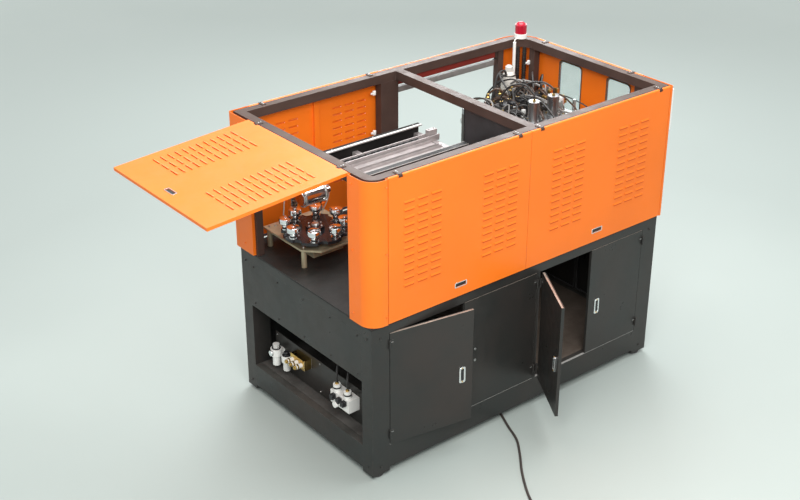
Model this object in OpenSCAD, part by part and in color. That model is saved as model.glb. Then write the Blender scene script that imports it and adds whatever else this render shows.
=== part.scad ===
// Two-cavity stretch blow moulding machine for drinks bottles, partly stripped for fitting out.
// Origin at the centre of the base on the floor, +X along the machine, -Y the front, +Z up, millimetres.

/* [Base cabinet] */
// Length of the base cabinet
base_l = 2440; // [2240:10:2640]
// Width of the base cabinet, front to rear
base_w = 1380; // [1280:10:1480]
// Height of the deck's upper face
base_h = 1070; // [1010:5:1130]
// Thickness of the deck plate
deck_t = 12; // [8:1:20]
// Underside of the corner posts above the floor
foot_h = 25; // [18:1:40]
// Radius of a levelling foot
foot_r = 40; // [30:1:50]
// Underside of the bottom rails above the floor
sill_z = 50; // [35:1:70]
// Height of the bottom rails
sill_h = 162; // [120:2:180]
// Height of the top rails
head_h = 58; // [40:1:80]
// Depth of the rails, front to back
rail_t = 50; // [40:1:60]
// Corner post, size along the machine
post_l = 132; // [110:2:150]
// Corner post, size across the machine
post_w = 100; // [80:2:120]
// Centre post between the two pairs of front doors
mid_post = 26; // [25:0.5:34]
// Place of the centre post along the machine
mid_x = 120; // [60:5:180]
// Thickness of the floor pan
pan_t = 4; // [3:0.5:6]
// Lower edge of the panel that closes the left end of the base
end_panel_z = 672; // [600:4:760]
// Thickness of the base's folded sheet
base_sheet = 2.5; // [2:0.5:4]

/* [Base doors] */
// Thickness of a door, over its folded edges
door_t = 20; // [16:1:24]
// Gap round a door
door_gap = 3; // [2:0.5:5]
// Place where the two left-hand front doors meet
pair_1_x = -505; // [-560:5:-440]
// Place where the two right-hand front doors meet
pair_2_x = 600; // [560:5:640]
// Angle that the first door stands ajar
door_1_open = 9.5; // [0:0.5:20]
// Angle that the third door stands open
door_3_open = 120; // [100:1:130]
// Radius of a hinge knuckle
knuckle_r = 7; // [6:0.5:8]
// Radius of a hinge pin
hinge_pin_r = 4; // [3:0.5:4.5]
// Length of a hinge
hinge_l = 60; // [50:2:80]
// Distance of the hinges from the door's ends
hinge_in = 75; // [60:5:110]
// Height of a lock's centre above the floor
lock_z = 560; // [520:5:660]
// Distance of a lock from the door's free edge
lock_in = 76; // [60:2:100]

/* [Enclosure] */
// How far the orange enclosure stands out past the base on each side
shell_out = 20; // [15:1:30]
// Height of the enclosure's top edge
shell_top = 2000; // [1900:10:2100]
// Thickness of a flap, over its folded edges
flap_t = 20; // [18:1:24]
// Thickness of the flaps' sheet
skin = 2; // [1.5:0.5:3]
// Thickness of the corner posts' sheet
corner_t = 3; // [2:0.5:4]
// Radius of the front left corner
corner_r_left = 100; // [60:5:115]
// Radius of the rear right corner
corner_r_rear = 180; // [160:5:200]
// Edge radius of the two square corners
corner_r_small = 12; // [6:1:20]
// Side of the square tube round the top
tube = 60; // [50:1:64]
// Side of the jamb posts
jamb = 50; // [40:1:56]
// Lower edge of the flaps above the deck
flap_lift = 8; // [5:1:15]
// Angle that the left flap stands open
left_open = 86; // [70:1:88]
// Radius of the hinge pins of the flaps
flap_pin_r = 5; // [4:0.5:6]
// Length of one hinge lug
lug_l = 30; // [24:1:40]
// Distance of a hinge lug from the flap's end
lug_in = 88; // [80:2:110]
// Width of one louvre
louvre_w = 75; // [60:1:85]
// Spacing of the louvres across a column
louvre_dx = 100; // [95:1:110]
// Spacing of the rows of louvres
louvre_dz = 48; // [40:1:52]
// Rows of louvres in a column
louvre_rows = 12; // [8:1:13]
// Height of a window in the right flap
window_h = 400; // [320:10:440]
// Width of a window in the right flap
window_w = 200; // [160:5:220]
// Height of the latches above the deck
latch_h = 80; // [70:2:110]

/* [Beacon and controls] */
// Radius of the beacon's dome
beacon_r = 42; // [36:1:45]
// Height of the beacon's dome
beacon_h = 88; // [70:2:110]
// Height of the emergency stop
stop_z = 1620; // [1500:10:1700]
// Travel of the two push buttons
button_travel = 4; // [3:0.5:6]

/* [Preform transfer] */
// Height of the transfer table above the deck
table_z = 120; // [110:5:150]
// Thickness of the transfer table
table_t = 14; // [10:1:20]
// Radius of the chuck wheel
wheel_r = 215; // [200:5:220]
// Number of chucks on the wheel
chucks_n = 8; // [6:1:10]
// Radius of the circle that the chucks stand on
chuck_ring = 185; // [170:5:188]
// Radius of one chuck
chuck_r = 28; // [22:1:30]
// Height of one chuck
chuck_h = 76; // [60:2:90]
// Radius of the transfer cylinder
drum_r = 55; // [45:1:60]
// Length of the transfer cylinder
drum_l = 150; // [120:5:180]

/* [Oven] */
// Length of the oven's rails
oven_l = 760; // [700:10:800]
// Height of the oven's top above the deck
oven_h = 680; // [600:10:740]
// Number of heating lamps
lamps_n = 7; // [5:1:8]

/* [Clamp] */
// Length of a clamp plate along the machine
plate_l = 520; // [480:10:560]
// Height of a clamp plate
plate_h = 530; // [500:5:560]
// Thickness of the fixed plates
fixed_t = 50; // [40:2:55]
// Inside distance between the fixed plates
clamp_gap = 960; // [920:10:1000]
// Thickness of a moving platen
platen_t = 50; // [40:2:60]
// Thickness of a mould half
mould_t = 130; // [110:5:140]
// Distance between the open mould faces
mould_open = 140; // [100:5:160]
// Radius of a tie bar
bar_r = 22; // [18:1:26]
// Travel of the blow nozzles
nozzle_travel = 28; // [20:1:29]

/* [Power cable] */
// Diameter of the cable
cable_d = 16; // [12:1:16]
// Diameter of the coil at the middle of its turns
coil_d = 190; // [180:2:200]

/* [Hidden] */
$fn = 48;

// Gap between solids of one welded frame, and between a piece and its seat on a curved face
weld = 0.3;
// Radial clearance of a pin in its bore
run = 0.05;
// Small overlap that joins shapes of one solid
bite = 0.5;

hx = base_l / 2;
hy = base_w / 2;
frame_top = base_h - deck_t;
sill_top = sill_z + sill_h;
head_z = frame_top - head_h;
door_z0 = sill_top + door_gap;
door_h = head_z - door_gap - door_z0;
// Distance of a door's hinge axis in front of its face, and of the door's edge beside the axis
axis_out = knuckle_r + 1;
post_leaf = 8;
door_leaf = 26;

sx = hx + shell_out;
sy = hy + shell_out;
roll_r = flap_t / 2;
axis_z = shell_top - roll_r;
// Outer faces of the black frame inside the flaps
stop_gap = 2;
fx = sx - flap_t - stop_gap;
fy = sy - flap_t - stop_gap;
frame_high = shell_top - 2;
tube_z = frame_high - tube;
flap_z0 = base_h + flap_lift;
flap_h = axis_z - flap_z0;
corner_z0 = base_h + 4;
corner_z1 = shell_top - 4;
end_gap = 3;

// Edges of the flaps, and of the corner posts beside them
front_l = -sx + 132;
front_mid = -20;
front_r = sx - 28;
left_f = -sy + 205;
left_r = sy - 205;
rear_l = -sx + 140;
rear_mid = -80;
rear_open_r = sx - 265;
right_f = -sy + 250;
right_r = sy - corner_r_rear - 4;

module at_front(x) { translate([x, -sy + roll_r, axis_z]) children(); }
module at_rear(x) { translate([x, sy - roll_r, axis_z]) rotate([0, 0, 180]) children(); }
module at_left(y) { translate([-sx + roll_r, y, axis_z]) rotate([0, 0, -90]) children(); }
module at_right(y) { translate([sx - roll_r, y, axis_z]) rotate([0, 0, 90]) children(); }

// A block from its lowest to its highest corner
module box(a, b) { translate(a) cube(b - a); }
module rod_x(r, l) { rotate([0, 90, 0]) cylinder(r = r, h = l, center = true); }
module rod_y(r, l) { rotate([90, 0, 0]) cylinder(r = r, h = l, center = true); }

/* Base cabinet */

module base_frame() color([0.24, 0.27, 0.26]) {
  for (i = [-1, 1], j = [-1, 1])
    box([min(i * hx, i * (hx - post_l)), min(j * hy, j * (hy - post_w)), foot_h],
        [max(i * hx, i * (hx - post_l)), max(j * hy, j * (hy - post_w)), frame_top]);
  in_x = hx - post_l - weld;
  in_y = hy - post_w - weld;
  for (z = [[sill_z, sill_top], [head_z, frame_top]]) {
    for (j = [-1, 1])
      box([-in_x, j > 0 ? hy - rail_t : -hy, z[0]], [in_x, j > 0 ? hy : -hy + rail_t, z[1]]);
    for (i = [-1, 1])
      box([i > 0 ? hx - rail_t : -hx, -in_y, z[0]], [i > 0 ? hx : -hx + rail_t, in_y, z[1]]);
  }
  for (j = [-1, 1])
    box([mid_x - mid_post / 2, j > 0 ? hy - rail_t : -hy, sill_top + weld],
        [mid_x + mid_post / 2, j > 0 ? hy : -hy + rail_t, head_z - weld]);
  for (x = [-hx / 2, mid_x, hx / 2 + 60])
    box([x - 30, -hy + rail_t + weld, head_z], [x + 30, hy - rail_t - weld, frame_top]);
}

module levelling_feet() color([0.12, 0.12, 0.12])
  for (i = [-1, 1], j = [-1, 1])
    translate([i * (hx - post_l / 2), j * (hy - post_w / 2), 0]) {
      cylinder(r1 = foot_r, r2 = foot_r - 4, h = 9);
      cylinder(r = 12, h = foot_h);
      translate([0, 0, foot_h - 8]) cylinder(r = 19, h = 8, $fn = 6);
    }

module floor_pan() color([0.42, 0.40, 0.37])
  difference() {
    box([-hx + rail_t + weld, -hy + rail_t + weld, sill_top - pan_t],
        [hx - rail_t - weld, hy - rail_t - weld, sill_top]);
    for (i = [-1, 1], j = [-1, 1])
      translate([i * hx, j * hy, sill_top])
        cube([2 * post_l + 2, 2 * post_w + 2, 3 * pan_t], center = true);
    translate([gland_at[0], gland_at[1], sill_top])
      cylinder(r = gland_hole, h = 3 * pan_t, center = true);
  }

module deck_plate() color([0.30, 0.32, 0.31])
  box([-hx, -hy, frame_top], [hx, hy, base_h]);

// The black sheet that closes the upper half of the left end, with its folded lower edge
module left_end_panel() color([0.22, 0.25, 0.24]) {
  y0 = hy - post_w - weld;
  box([-hx, -y0, end_panel_z], [-hx + base_sheet, y0, head_z - weld]);
  box([-hx, -y0, end_panel_z], [-hx + 24, y0, end_panel_z + base_sheet]);
  box([-hx, -y0, head_z - weld - base_sheet], [-hx + 40, y0, head_z - weld]);
}

// Two fixed panels with rows of louvres close the rear of the base
rear_edges = [
  [-hx + post_l + weld, mid_x - mid_post / 2 - weld],
  [mid_x + mid_post / 2 + weld, hx - post_l - weld]
];
module rear_base_panels() color([0.22, 0.25, 0.24])
  for (e = rear_edges)
    translate([0, hy, 0]) {
      cx = (e[0] + e[1]) / 2;
      difference() {
        box([e[0], -door_t, sill_top + weld], [e[1], 0, head_z - weld]);
        box([e[0] + skin, -door_t - 1, sill_top + skin], [e[1] - skin, -skin, head_z - skin]);
        for (k = [0:5], u = [-1, 1])
          translate([cx + u * 150, 0, sill_top + 120 + k * louvre_dz]) rotate([0, 0, 180]) louvre_hole(200);
      }
      for (k = [0:5], u = [-1, 1])
        translate([cx + u * 150, 0, sill_top + 120 + k * louvre_dz]) rotate([0, 0, 180]) louvre_hood(200);
    }

/* Louvres, on a sheet whose outer face lies at y = 0 and looks along -Y */

hood_out = 5;
module louvre_hole(w)
  translate([-w / 2 + skin, 0, 0]) rotate([90, 0, 90]) linear_extrude(w - 2 * skin)
    polygon([[skin + 1, 6], [skin - 1, 7], [-hood_out + 1.6, -1], [-hood_out + 1.6, -4], [skin + 1, -4]]);
module louvre_hood(w)
  difference() {
    translate([-w / 2, 0, 0]) rotate([90, 0, 90]) linear_extrude(w)
      polygon([[1, 11], [0, 10], [-hood_out, 0], [-hood_out, -2], [1, -2]]);
    louvre_hole(w);
  }

/* Base doors: hinge axis along Z at the origin, door along +X, outer face looks along -Y */

function hinge_zs() = [door_z0 + hinge_in, door_z0 + door_h - hinge_in];

module hinge_bore(z) translate([0, 0, z - hinge_l]) cylinder(r = hinge_pin_r + run, h = 2 * hinge_l);

// w is the door's width from the axis, lock says whether it has a lock's hole
module door(w, lock = true)
  difference() {
    union() {
      translate([door_gap, axis_out, door_z0]) difference() {
        cube([w - door_gap, door_t, door_h]);
        translate([skin, skin, skin]) cube([w - door_gap - 2 * skin, door_t, door_h - 2 * skin]);
      }
      for (z = hinge_zs())
        translate([0, 0, z + 0.5]) {
          cylinder(r = knuckle_r, h = hinge_l / 2);
          translate([0, axis_out - 2, 0]) cube([door_leaf, 2 + bite, hinge_l / 2]);
          translate([0, -knuckle_r + 4, 0]) cube([3, axis_out + knuckle_r - 4, hinge_l / 2]);
        }
      if (lock) lock_plate(w - lock_in);
    }
    for (z = hinge_zs()) hinge_bore(z);
    if (lock) lock_recess(w - lock_in);
  }

// The fixed half of the hinges, on the post beside the door
module hinge_fixed()
  for (z = hinge_zs())
    translate([0, 0, z]) {
      translate([0, 0, -hinge_l / 2]) cylinder(r = knuckle_r, h = hinge_l / 2);
      translate([0, 0, -bite]) cylinder(r = hinge_pin_r, h = hinge_l / 2 - 1);
      translate([-post_leaf, axis_out - 2, -hinge_l / 2]) cube([post_leaf, 2, hinge_l / 2]);
      translate([-3, -knuckle_r + 4, -hinge_l / 2]) cube([3, axis_out + knuckle_r - 4, hinge_l / 2]);
    }

// Lock: a plate on the door with a slot, and a lever that swings out about its upper end
lock_w = 34;
lock_h = 104;
lock_p = 4;
lever_w = 16;
lever_l = 74;
lever_t = 7;
lever_pin = 2.5;
module lock_plate(x)
  translate([x - lock_w / 2, axis_out - lock_p, lock_z - lock_h / 2])
    cube([lock_w, lock_p + door_t - 6, lock_h]);
module lock_recess(x)
  translate([x, 0, lock_z]) {
    translate([-lever_w / 2 - 1, axis_out - lock_p - 1, -lever_l / 2 - 1])
      cube([lever_w + 2, lock_p + lever_t + 4, lever_l + 2]);
    translate([0, axis_out + 1.5, lever_l / 2 - 5]) rod_x(lever_pin + run, lever_w + 14);
  }
module lock_lever(x)
  translate([x, axis_out - lock_p - 1, lock_z]) difference() {
    union() {
      translate([-lever_w / 2, 0, -lever_l / 2]) cube([lever_w, lever_t, lever_l - 5 - 4]);
      translate([0, lock_p + 2.5, lever_l / 2 - 5]) {
        rod_x(4, lever_w);
        rod_x(lever_pin, lever_w + 12);
        translate([-lever_w / 2, -lock_p - 2.5, -9]) cube([lever_w, lever_t, 9]);
      }
    }
    translate([-lever_w / 2 - 1, -0.01, -lever_l / 2 + 8]) cube([lever_w / 2 - 2, 2, lever_l - 30]);
  }

module front_left_hinge(x) { translate([x, -hy - axis_out, 0]) children(); }
module front_right_hinge(x) { translate([x, -hy - axis_out, 0]) mirror([1, 0, 0]) children(); }
module end_hinge_front(y) { translate([hx + axis_out, y, 0]) rotate([0, 0, 90]) children(); }
module end_hinge_rear(y) {
  translate([hx + axis_out, y, 0]) rotate([0, 0, 90]) mirror([1, 0, 0]) children();
}

hinge_1 = -hx + post_l;
hinge_2 = mid_x - mid_post / 2;
hinge_3 = mid_x + mid_post / 2;
hinge_4 = hx - post_l;
hinge_e = hy - post_w;
w_1 = pair_1_x - door_gap / 2 - hinge_1;
w_2 = hinge_2 - pair_1_x - door_gap / 2;
w_3 = pair_2_x - door_gap / 2 - hinge_3;
w_4 = hinge_4 - pair_2_x - door_gap / 2;
w_e = hinge_e - door_gap / 2;

door_grey = [0.24, 0.27, 0.27];
module front_door_1() color(door_grey) front_left_hinge(hinge_1) rotate([0, 0, -door_1_open]) door(w_1);
module front_door_2() color(door_grey) front_right_hinge(hinge_2) door(w_2, false);
module front_door_3() color(door_grey) front_left_hinge(hinge_3) rotate([0, 0, -door_3_open]) door(w_3);
module front_door_4() color(door_grey) front_right_hinge(hinge_4) door(w_4);
module end_door_front() color(door_grey) end_hinge_front(-hinge_e) door(w_e, false);
module end_door_rear() color(door_grey) end_hinge_rear(hinge_e) door(w_e);

module door_hinges() color([0.35, 0.36, 0.36]) {
  front_left_hinge(hinge_1) hinge_fixed();
  front_right_hinge(hinge_2) hinge_fixed();
  front_left_hinge(hinge_3) hinge_fixed();
  front_right_hinge(hinge_4) hinge_fixed();
  end_hinge_front(-hinge_e) hinge_fixed();
  end_hinge_rear(hinge_e) hinge_fixed();
}

module lock_lever_1() color("silver") front_left_hinge(hinge_1)
  rotate([0, 0, -door_1_open]) lock_lever(w_1 - lock_in);
module lock_lever_3() color("silver") front_left_hinge(hinge_3)
  rotate([0, 0, -door_3_open]) lock_lever(w_3 - lock_in);
module lock_lever_4() color("silver") front_right_hinge(hinge_4) lock_lever(w_4 - lock_in);
module lock_lever_end() color("silver") end_hinge_rear(hinge_e) lock_lever(w_e - lock_in);

/* Compressed air pieces in the open left end of the base */

air_x = -hx + 128;
module air_preparation_unit() color([0.86, 0.87, 0.86]) {
  box([air_x, -500, sill_top + weld], [air_x + 4, 520, sill_top + 250]);
  translate([air_x - 56, 440, sill_top + 104]) {
    translate([0, 0, -50]) cylinder(r = 26, h = 76);
    translate([0, 0, 20]) cylinder(r = 38, h = 52);
    translate([0, 0, 70]) cylinder(r = 22, h = 34);
    box([0, -20, 30], [56, 20, 56]);
  }
  translate([air_x - 50, 330, sill_top + 104]) {
    translate([0, 0, -44]) cylinder(r = 24, h = 70);
    translate([0, 0, 20]) cylinder(r = 34, h = 48);
    box([0, -18, 30], [50, 18, 52]);
  }
}

module base_valve_block() color([0.80, 0.80, 0.78]) {
  translate([air_x - 30 - weld, 190, sill_top + 190]) {
    cube([60, 150, 70], center = true);
    for (k = [-1, 0, 1])
      translate([-52, k * 48, 0]) rod_x(15, 50);
  }
  translate([air_x - 42 - weld, -300, sill_top + 150]) {
    cube([84, 190, 90], center = true);
    for (k = [-1, 1])
      translate([-20, k * 55, 0]) cylinder(r = 24, h = 96);
    translate([-60, 0, -8]) rod_x(20, 48);
  }
}

/* Black frame inside the orange enclosure */

module rail_corner(r, a)
  rotate([0, 0, a]) rotate_extrude(angle = 90, $fn = 96)
    translate([r - flap_t - stop_gap - tube, 0]) square([tube, tube]);

module upper_frame() color([0.30, 0.27, 0.26]) {
  cl = corner_r_left;
  cr = corner_r_rear;
  t = tube;
  // Tubes round the top, with the two rounded corners
  box([-sx + cl + weld, -fy, tube_z], [fx - t - weld, -fy + t, frame_high]);
  box([-fx + t + weld, fy - t, tube_z], [sx - cr - weld, fy, frame_high]);
  box([-fx, -sy + cl + weld, tube_z], [-fx + t, fy, frame_high]);
  box([fx - t, -fy, tube_z], [fx, sy - cr - weld, frame_high]);
  translate([-sx + cl, -sy + cl, tube_z]) rail_corner(cl, 180);
  translate([sx - cr, sy - cr, tube_z]) rail_corner(cr, 0);
  // Crossbar over the middle
  box([15, -fy + t + weld, tube_z], [75, fy - t - weld, frame_high]);
  z0 = base_h;
  z1 = tube_z - weld;
  // Jambs and centre posts
  box([front_l - jamb / 2, -fy, z0], [front_l + jamb / 2, -fy + jamb, z1]);
  box([front_mid - 30, -fy, z0], [front_mid + 30, -fy + t, z1]);
  box([fx - t, -fy, z0], [fx, -fy + t, z1]);
  box([rear_l - jamb / 2, fy - jamb, z0], [rear_l + jamb / 2, fy, z1]);
  box([rear_mid - 30, fy - t, z0], [36, fy, z1]);
  box([rear_open_r - jamb / 2, fy - jamb, z0], [rear_open_r + 22, fy, z1]);
  box([-fx, left_f - 34, z0], [-fx + jamb, left_f + 16, z1]);
  box([-fx, left_r - 16, z0], [-fx + jamb, left_r + 34, z1]);
  box([fx - jamb, right_f - 34, z0], [fx, right_f + 16, z1]);
  box([fx - jamb, right_r - 24, z0], [fx, right_r + 26, z1]);
  // Header and door track over the operator's opening
  box([36 + weld, fy - 38, tube_z - 48], [rear_open_r - jamb / 2 - weld, fy, tube_z - weld]);
  box([36 + weld, fy - 33, tube_z - 106], [rear_open_r - jamb / 2 - weld, fy - 8, tube_z - 70]);
}

// Outline of a folded corner post with its outer corner at the origin, legs along +X and +Y
module corner_outline(lx, ly, r) {
  module solid(d)
    difference() {
      translate([d, d]) square([lx - d, ly - d]);
      difference() {
        square(r);
        translate([r, r]) circle(r = r - d, $fn = 96);
      }
    }
  lip = flap_t + stop_gap - weld;
  difference() {
    solid(0);
    solid(corner_t);
  }
  translate([lx - corner_t, 0]) square([corner_t, lip]);
  translate([0, ly - corner_t]) square([lip, corner_t]);
}

module corner_post(lx, ly, r)
  translate([0, 0, corner_z0]) linear_extrude(corner_z1 - corner_z0) corner_outline(lx, ly, r);

orange = [1.0, 0.50, 0.22];
module corner_front_left() color(orange)
  translate([-sx, -sy, 0]) corner_post(front_l + sx - end_gap, left_f + sy - end_gap, corner_r_left);
module corner_rear_left() color(orange)
  translate([-sx, sy, 0]) mirror([0, 1, 0])
    corner_post(rear_l + sx - end_gap, sy - left_r - end_gap, corner_r_small);
module corner_front_right() color(orange)
  translate([sx, -sy, 0]) mirror([1, 0, 0])
    corner_post(sx - front_r - end_gap, right_f + sy - end_gap, corner_r_small);
module corner_rear_right() color(orange)
  difference() {
    translate([sx, sy, 0]) rotate([0, 0, 180])
      corner_post(sx - rear_open_r, sy - right_r - end_gap, corner_r_rear);
    for (z = [stop_z, start_z]) translate([button_x, sy, z]) rod_y(stem_r + run, 20);
  }

/* Flaps: hinge axis along X at the origin, flap below it, outer face looks along -Y */

// cols lists the middle of each column of louvres, windows the middle of each window
module flap(x0, x1, latch_x, cols = [], windows = [])
  difference() {
    union() {
      translate([x0, 0, 0]) rotate([0, 90, 0]) cylinder(r = roll_r, h = x1 - x0);
      difference() {
        box([x0, -roll_r, -flap_h], [x1, roll_r, -roll_r * 0.3]);
        box([x0 + skin, -roll_r + skin, -flap_h + skin], [x1 - skin, roll_r + 1, roll_r]);
      }
      translate([latch_x, 0, 0]) latch_cup();
      for (c = cols) louvre_column(c) louvre_hood(louvre_w);
      for (w = windows) window_rim(w);
    }
    for (x = [x0 + lug_in, x1 - lug_in]) translate([x, 0, 0]) {
      box([-lug_l / 2 - 1, -roll_r - 1, -roll_r + 1], [lug_l / 2 + 1, roll_r + 1, roll_r + 1]);
      rod_x(flap_pin_r + run, lug_l + 2 * pin_reach + 2);
    }
    translate([latch_x, 0, 0]) latch_hole();
    for (c = cols) louvre_column(c) louvre_hole(louvre_w);
    for (w = windows) window_hole(w, 0);
  }

module louvre_column(c)
  for (k = [0:louvre_rows - 1], u = [-1, 0, 1])
    translate([c + u * louvre_dx, -roll_r, -170 - k * louvre_dz]) children();

pin_reach = 24;
// Lug with its pin, fixed to the outer face and the top of the frame
module lug() {
  rod_x(roll_r - 2, lug_l);
  rod_x(flap_pin_r, lug_l + 2 * pin_reach);
  box([-lug_l / 2, 0, -roll_r + 4], [lug_l / 2, roll_r + stop_gap, roll_r - 2]);
  box([-lug_l / 2, -2, roll_r - 4], [lug_l / 2, roll_r + stop_gap, roll_r + 2]);
  box([-lug_l / 2, 0, roll_r - 2], [lug_l / 2, roll_r + stop_gap + 34, roll_r + 2]);
}

// Latch: a cup in the flap with a paddle that swings out about its upper edge
paddle_w = 80;
paddle_h = 20;
paddle_t = 5;
paddle_pin = 2;
cup_d = 15;
latch_z = -flap_h + latch_h;
module latch_cup()
  translate([0, -roll_r, latch_z]) {
    box([-paddle_w / 2 - 8, 0, -paddle_h / 2 - 6], [paddle_w / 2 + 8, cup_d, paddle_h / 2 + 6]);
    box([-paddle_w / 2 - 6, -1.5, -paddle_h / 2 - 5], [paddle_w / 2 + 6, 1, paddle_h / 2 + 5]);
  }
module latch_hole()
  translate([0, -roll_r, latch_z]) {
    box([-paddle_w / 2 - 1, -3, -paddle_h / 2 - 2], [paddle_w / 2 + 1, cup_d - 3, paddle_h / 2 + 2]);
    translate([0, paddle_t / 2, paddle_h / 2 - 2]) rod_x(paddle_pin + run, paddle_w + 8);
  }
module paddle()
  translate([0, -roll_r, latch_z]) {
    box([-paddle_w / 2, 0, -paddle_h / 2], [paddle_w / 2, paddle_t, paddle_h / 2 - 2]);
    translate([0, paddle_t / 2, paddle_h / 2 - 2]) {
      rod_x(paddle_t / 2, paddle_w);
      rod_x(paddle_pin, paddle_w + 6);
    }
  }

window_r = 30;
window_z = -100;
module window_outline(w, grow)
  translate([w, -roll_r, window_z - window_h / 2]) rotate([90, 0, 0])
    translate([0, 0, -skin - 1]) linear_extrude(skin + 4) union() {
      square([window_w + 2 * grow - 2 * window_r, window_h + 2 * grow], center = true);
      square([window_w + 2 * grow, window_h + 2 * grow - 2 * window_r], center = true);
      for (i = [-1, 1], j = [-1, 1])
        translate([i * (window_w / 2 + grow - window_r), j * (window_h / 2 + grow - window_r)])
          circle(r = window_r);
    }
module window_hole(w, grow) window_outline(w, grow);
module window_rim(w)
  intersection() {
    window_outline(w, 8);
    box([w - window_w, -roll_r - 1.5, window_z - window_h - 20],
        [w + window_w, -roll_r + 1, window_z + 20]);
  }

// Columns of louvres and places of the latches, from the middle of each flap
front_left_c = (front_l + front_mid) / 2;
front_right_c = (front_mid + front_r) / 2;
rear_c = (rear_l + rear_mid) / 2;
right_c = (right_f + right_r) / 2;
function half(a, b) = (b - a - end_gap) / 2;

module left_flap_shape() {
  w = half(left_f, left_r);
  flap(-w, w, 0, [-w + 215, w - 215]);
}
module left_flap() color(orange) at_left(0) rotate([-left_open, 0, 0]) left_flap_shape();
module front_flap_left() color(orange) at_front(front_left_c) {
  w = half(front_l, front_mid);
  flap(-w, w, 5, [-w + 248, w - 238]);
}
module front_flap_right() color(orange) at_front(front_right_c) {
  w = half(front_mid, front_r);
  flap(-w, w, 10, [-w + 325, w - 325]);
}
module rear_flap() color(orange) at_rear(rear_c) {
  w = half(rear_l, rear_mid);
  flap(-w, w, 0, [-w + 235, w - 235]);
  // Stiffening channel down the middle, on the inside
  box([-20, -roll_r + 1, -flap_h + 100], [20, roll_r, -30]);
}
module right_flap() color(orange) at_right(right_c) {
  w = half(right_f, right_r);
  flap(-w, w, 0, [], window_xs);
}
window_xs = [-278, 172];
module right_flap_windows() color([0.75, 0.85, 0.85, 0.35]) at_right(right_c)
  for (w = window_xs)
    intersection() {
      translate([0, skin + 3, 0]) window_outline(w, 10);
      box([w - window_w, -roll_r + skin, window_z - window_h - 20],
          [w + window_w, -roll_r + skin + 4, window_z + 20]);
    }

module flap_hinge_lugs() color([0.25, 0.23, 0.22]) {
  lugs_at(left_f, left_r) at_left(0) translate([$lug, 0, 0]) lug();
  lugs_at(front_l, front_mid) at_front(front_left_c) translate([$lug, 0, 0]) lug();
  lugs_at(front_mid, front_r) at_front(front_right_c) translate([$lug, 0, 0]) lug();
  lugs_at(rear_l, rear_mid) at_rear(rear_c) translate([$lug, 0, 0]) lug();
  lugs_at(right_f, right_r) at_right(right_c) translate([$lug, 0, 0]) lug();
}
module lugs_at(a, b)
  for (u = [-1, 1]) {
    $lug = u * (half(a, b) - lug_in);
    children();
  }

module latch_left() color([0.1, 0.1, 0.1]) at_left(0) rotate([-left_open, 0, 0]) paddle();
module latch_front_left() color([0.1, 0.1, 0.1]) at_front(front_left_c + 5) paddle();
module latch_front_right() color([0.1, 0.1, 0.1]) at_front(front_right_c + 10) paddle();
module latch_rear() color([0.1, 0.1, 0.1]) at_rear(rear_c) paddle();
module latch_right() color([0.1, 0.1, 0.1]) at_right(right_c) paddle();

/* Beacon, conduit, document holder and buttons */

beacon_at = [sx - corner_r_rear + (corner_r_rear - flap_t - stop_gap - tube / 2) * cos(48),
             sy - corner_r_rear + (corner_r_rear - flap_t - stop_gap - tube / 2) * sin(48)];
beacon_foot = 30;
module beacon_base() color([0.92, 0.92, 0.9]) translate([beacon_at[0], beacon_at[1], frame_high]) {
  cylinder(r = tube / 2 - 2, h = 10);
  translate([0, 0, 10 - bite]) cylinder(r1 = tube / 2 - 2, r2 = beacon_r, h = 8);
  translate([0, 0, 17]) cylinder(r = beacon_r, h = beacon_foot - 17);
}
module beacon_dome() color([0.8, 0.1, 0.2])
  translate([beacon_at[0], beacon_at[1], frame_high + beacon_foot]) rotate_extrude($fn = 64) {
    square([beacon_r - 2, beacon_h - 20]);
    intersection() {
      translate([0, beacon_h - 40]) circle(r = 40, $fn = 96);
      translate([0, beacon_h - 41]) square([beacon_r - 2, 50]);
    }
  }

conduit_at = [sx - 150, sy - 66];
module cable_conduit() color([0.85, 0.84, 0.8]) translate([conduit_at[0] - 40, conduit_at[1] - 60, base_h]) {
  cylinder(r = 11, h = tube_z - base_h + 55);
  cylinder(r = 18, h = 16);
  for (z = [260, 560]) translate([0, 0, z]) cylinder(r = 15, h = 22);
}

module document_holder() color([0.93, 0.93, 0.92])
  difference() {
    box([sx, right_f - 243, shell_top - 310], [sx + 14, right_f - 48, shell_top - 30]);
    box([sx + 3, right_f - 240, shell_top - 300], [sx + 11, right_f - 51, shell_top]);
  }

stem_r = 8;
start_z = stop_z - 90;
button_x = sx - corner_r_rear - 24;
module emergency_stop() color([0.85, 0.08, 0.06]) translate([button_x, sy, stop_z]) rotate([-90, 0, 0]) {
  translate([0, 0, -24]) cylinder(r = stem_r, h = 24 + button_travel + 4);
  translate([0, 0, button_travel + 2]) rotate_extrude()
    intersection() {
      translate([0, -22]) circle(r = 36, $fn = 96);
      square([20, 20]);
    }
}
module start_button() color([0.1, 0.55, 0.2]) translate([button_x, sy, start_z]) rotate([-90, 0, 0]) {
  translate([0, 0, -24]) cylinder(r = stem_r, h = 24 + button_travel + 2);
  translate([0, 0, button_travel + 1]) cylinder(r = 13, h = 5);
}

/* Inside: partition, transfer wheel and oven */

module partition_panel() color([0.25, 0.25, 0.25])
  difference() {
    box([43, -fy + tube + weld, base_h], [47, -35, tube_z - weld]);
    box([40, -420, base_h + 60], [50, -180, base_h + 360]);
  }

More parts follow.
